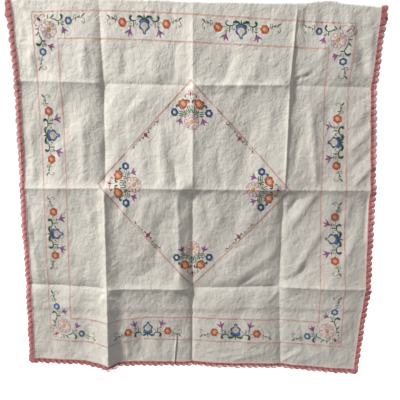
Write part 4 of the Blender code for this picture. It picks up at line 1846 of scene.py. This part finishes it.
@dataclass(frozen=True)
class Studio:
    """The floor, the light from the upper left and the camera at the photograph's angle."""

    floor_drop: float = 1.90
    floor_size: float = 60.0
    camera_place: tuple[float, float, float] = (0.0358, -1.1993, -0.3333)
    tilt_deg: float = -9.151
    heading_deg: float = 0.877
    roll_deg: float = 0.505
    focal_share: float = 433 / 400
    sensor_mm: float = 36.0
    lamp_place: tuple[float, float, float] = (-2.9, -1.45, 2.0)
    lamp_aim: tuple[float, float, float] = (0.0, 0.0, -0.5)
    lamp_watts: float = 215.0
    lamp_size: float = 0.50
    lamp_colour: str = "#FFFDF9"
    floor_lamp_from: tuple[float, float, float] = (0.0, 0.2, 0.98)
    floor_lamp_strength: float = 3.0
    front_sky: float = 0.25
    back_sky: float = 1.0
    sky_turn: tuple[float, float] = (-0.15, 0.45)

    def floor(self) -> None:
        """Lay the pale floor, which sends no light up on to the cloth."""
        bpy.ops.mesh.primitive_plane_add(size=self.floor_size, location=(0, 0, -self.floor_drop))
        floor = bpy.context.object
        floor.name = "studio_floor"
        floor.data.materials.append(PaleFloor().material())
        floor.visible_diffuse = False

    def lights(self) -> None:
        """Hang a lamp at the upper left and one over the floor, under a sky brightest behind the cloth."""
        lamp = bpy.data.lights.new("key_lamp", "AREA")
        lamp.shape, lamp.size = "DISK", self.lamp_size
        lamp.energy = self.lamp_watts
        lamp.color = linear_colour(self.lamp_colour)[:3]
        key = bpy.data.objects.new("key_lamp", lamp)
        key.location = self.lamp_place
        away = Vector(self.lamp_place) - Vector(self.lamp_aim)
        key.rotation_euler = away.to_track_quat("Z", "Y").to_euler()
        bpy.context.scene.collection.objects.link(key)
        wash = bpy.data.lights.new("floor_lamp", "SUN")
        wash.energy = self.floor_lamp_strength
        above = bpy.data.objects.new("floor_lamp", wash)
        above.rotation_euler = Vector(self.floor_lamp_from).to_track_quat("Z", "Y").to_euler()
        bpy.context.scene.collection.objects.link(above)
        world = bpy.data.worlds.new("studio_sky")
        world.use_nodes = True
        tree = world.node_tree
        way = add_node(tree, "ShaderNodeTexCoord").outputs["Generated"]
        split = add_node(tree, "ShaderNodeSeparateXYZ", {}, {"Vector": way})
        sky = add_node(tree, "ShaderNodeMapRange",
                       {"interpolation_type": "SMOOTHSTEP", "From Min": self.sky_turn[0],
                        "From Max": self.sky_turn[1], "To Min": self.front_sky,
                        "To Max": self.back_sky},
                       {"Value": split.outputs["Y"]})
        tree.links.new(sky.outputs["Result"], tree.nodes["Background"].inputs["Strength"])
        tree.nodes["Background"].inputs["Color"].default_value = (1.0, 1.0, 1.0, 1.0)
        bpy.context.scene.world = world

    def camera(self) -> None:
        """Set the camera where the photograph was taken from."""
        lens = bpy.data.cameras.new("studio_camera")
        lens.sensor_width = self.sensor_mm
        lens.lens = self.focal_share * self.sensor_mm
        lens.clip_start = 0.05
        camera = bpy.data.objects.new("studio_camera", lens)
        aim = Euler((math.radians(90 + self.tilt_deg), 0.0, math.radians(self.heading_deg))).to_matrix()
        aim = aim @ Matrix.Rotation(math.radians(self.roll_deg), 3, "Z")
        camera.matrix_world = Matrix.LocRotScale(Vector(self.camera_place), aim.to_quaternion(), None)
        bpy.context.scene.collection.objects.link(camera)
        bpy.context.scene.camera = camera

    def build(self) -> None:
        """Set up the studio."""
        self.floor()
        self.lights()
        self.camera()
        bpy.context.scene.view_settings.view_transform = "Standard"


def main() -> None:
    """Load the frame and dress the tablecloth."""
    logging.basicConfig(level=logging.INFO, format="%(name)s: %(message)s")
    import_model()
    Studio().build()
    form = HungForm()
    cloth = ClothSheet(form).build(WovenCotton().material())
    # The shells' yarn has painted shade: deep rose where it lies low, and all over the band behind the posts
    rose = PaintedShadeYarn("crochet_cotton_faded_rose", "#D58487", 0.28, 2.2)
    pale = TwistedYarn("crochet_cotton_pale_rose", "#F0CFC6", 0.10, 2.2)
    yarn_tool, floss_tool = ThreadSweep("Crochet yarn", 6), ThreadSweep("Embroidery floss", 4)
    edging = CrochetEdging(form).build(yarn_tool, rose.material(), floss_tool, pale.material())
    stitching = Embroidery(form).build(floss_tool)
    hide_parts("cloth")
    for piece in edging:
        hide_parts("crochet_edging")
    for piece in (cloth, *edging, *stitching):
        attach(piece, "root")
        LOG.info("%s: %d faces", piece.name, len(piece.data.polygons))


if __name__ == "__main__":
    main()
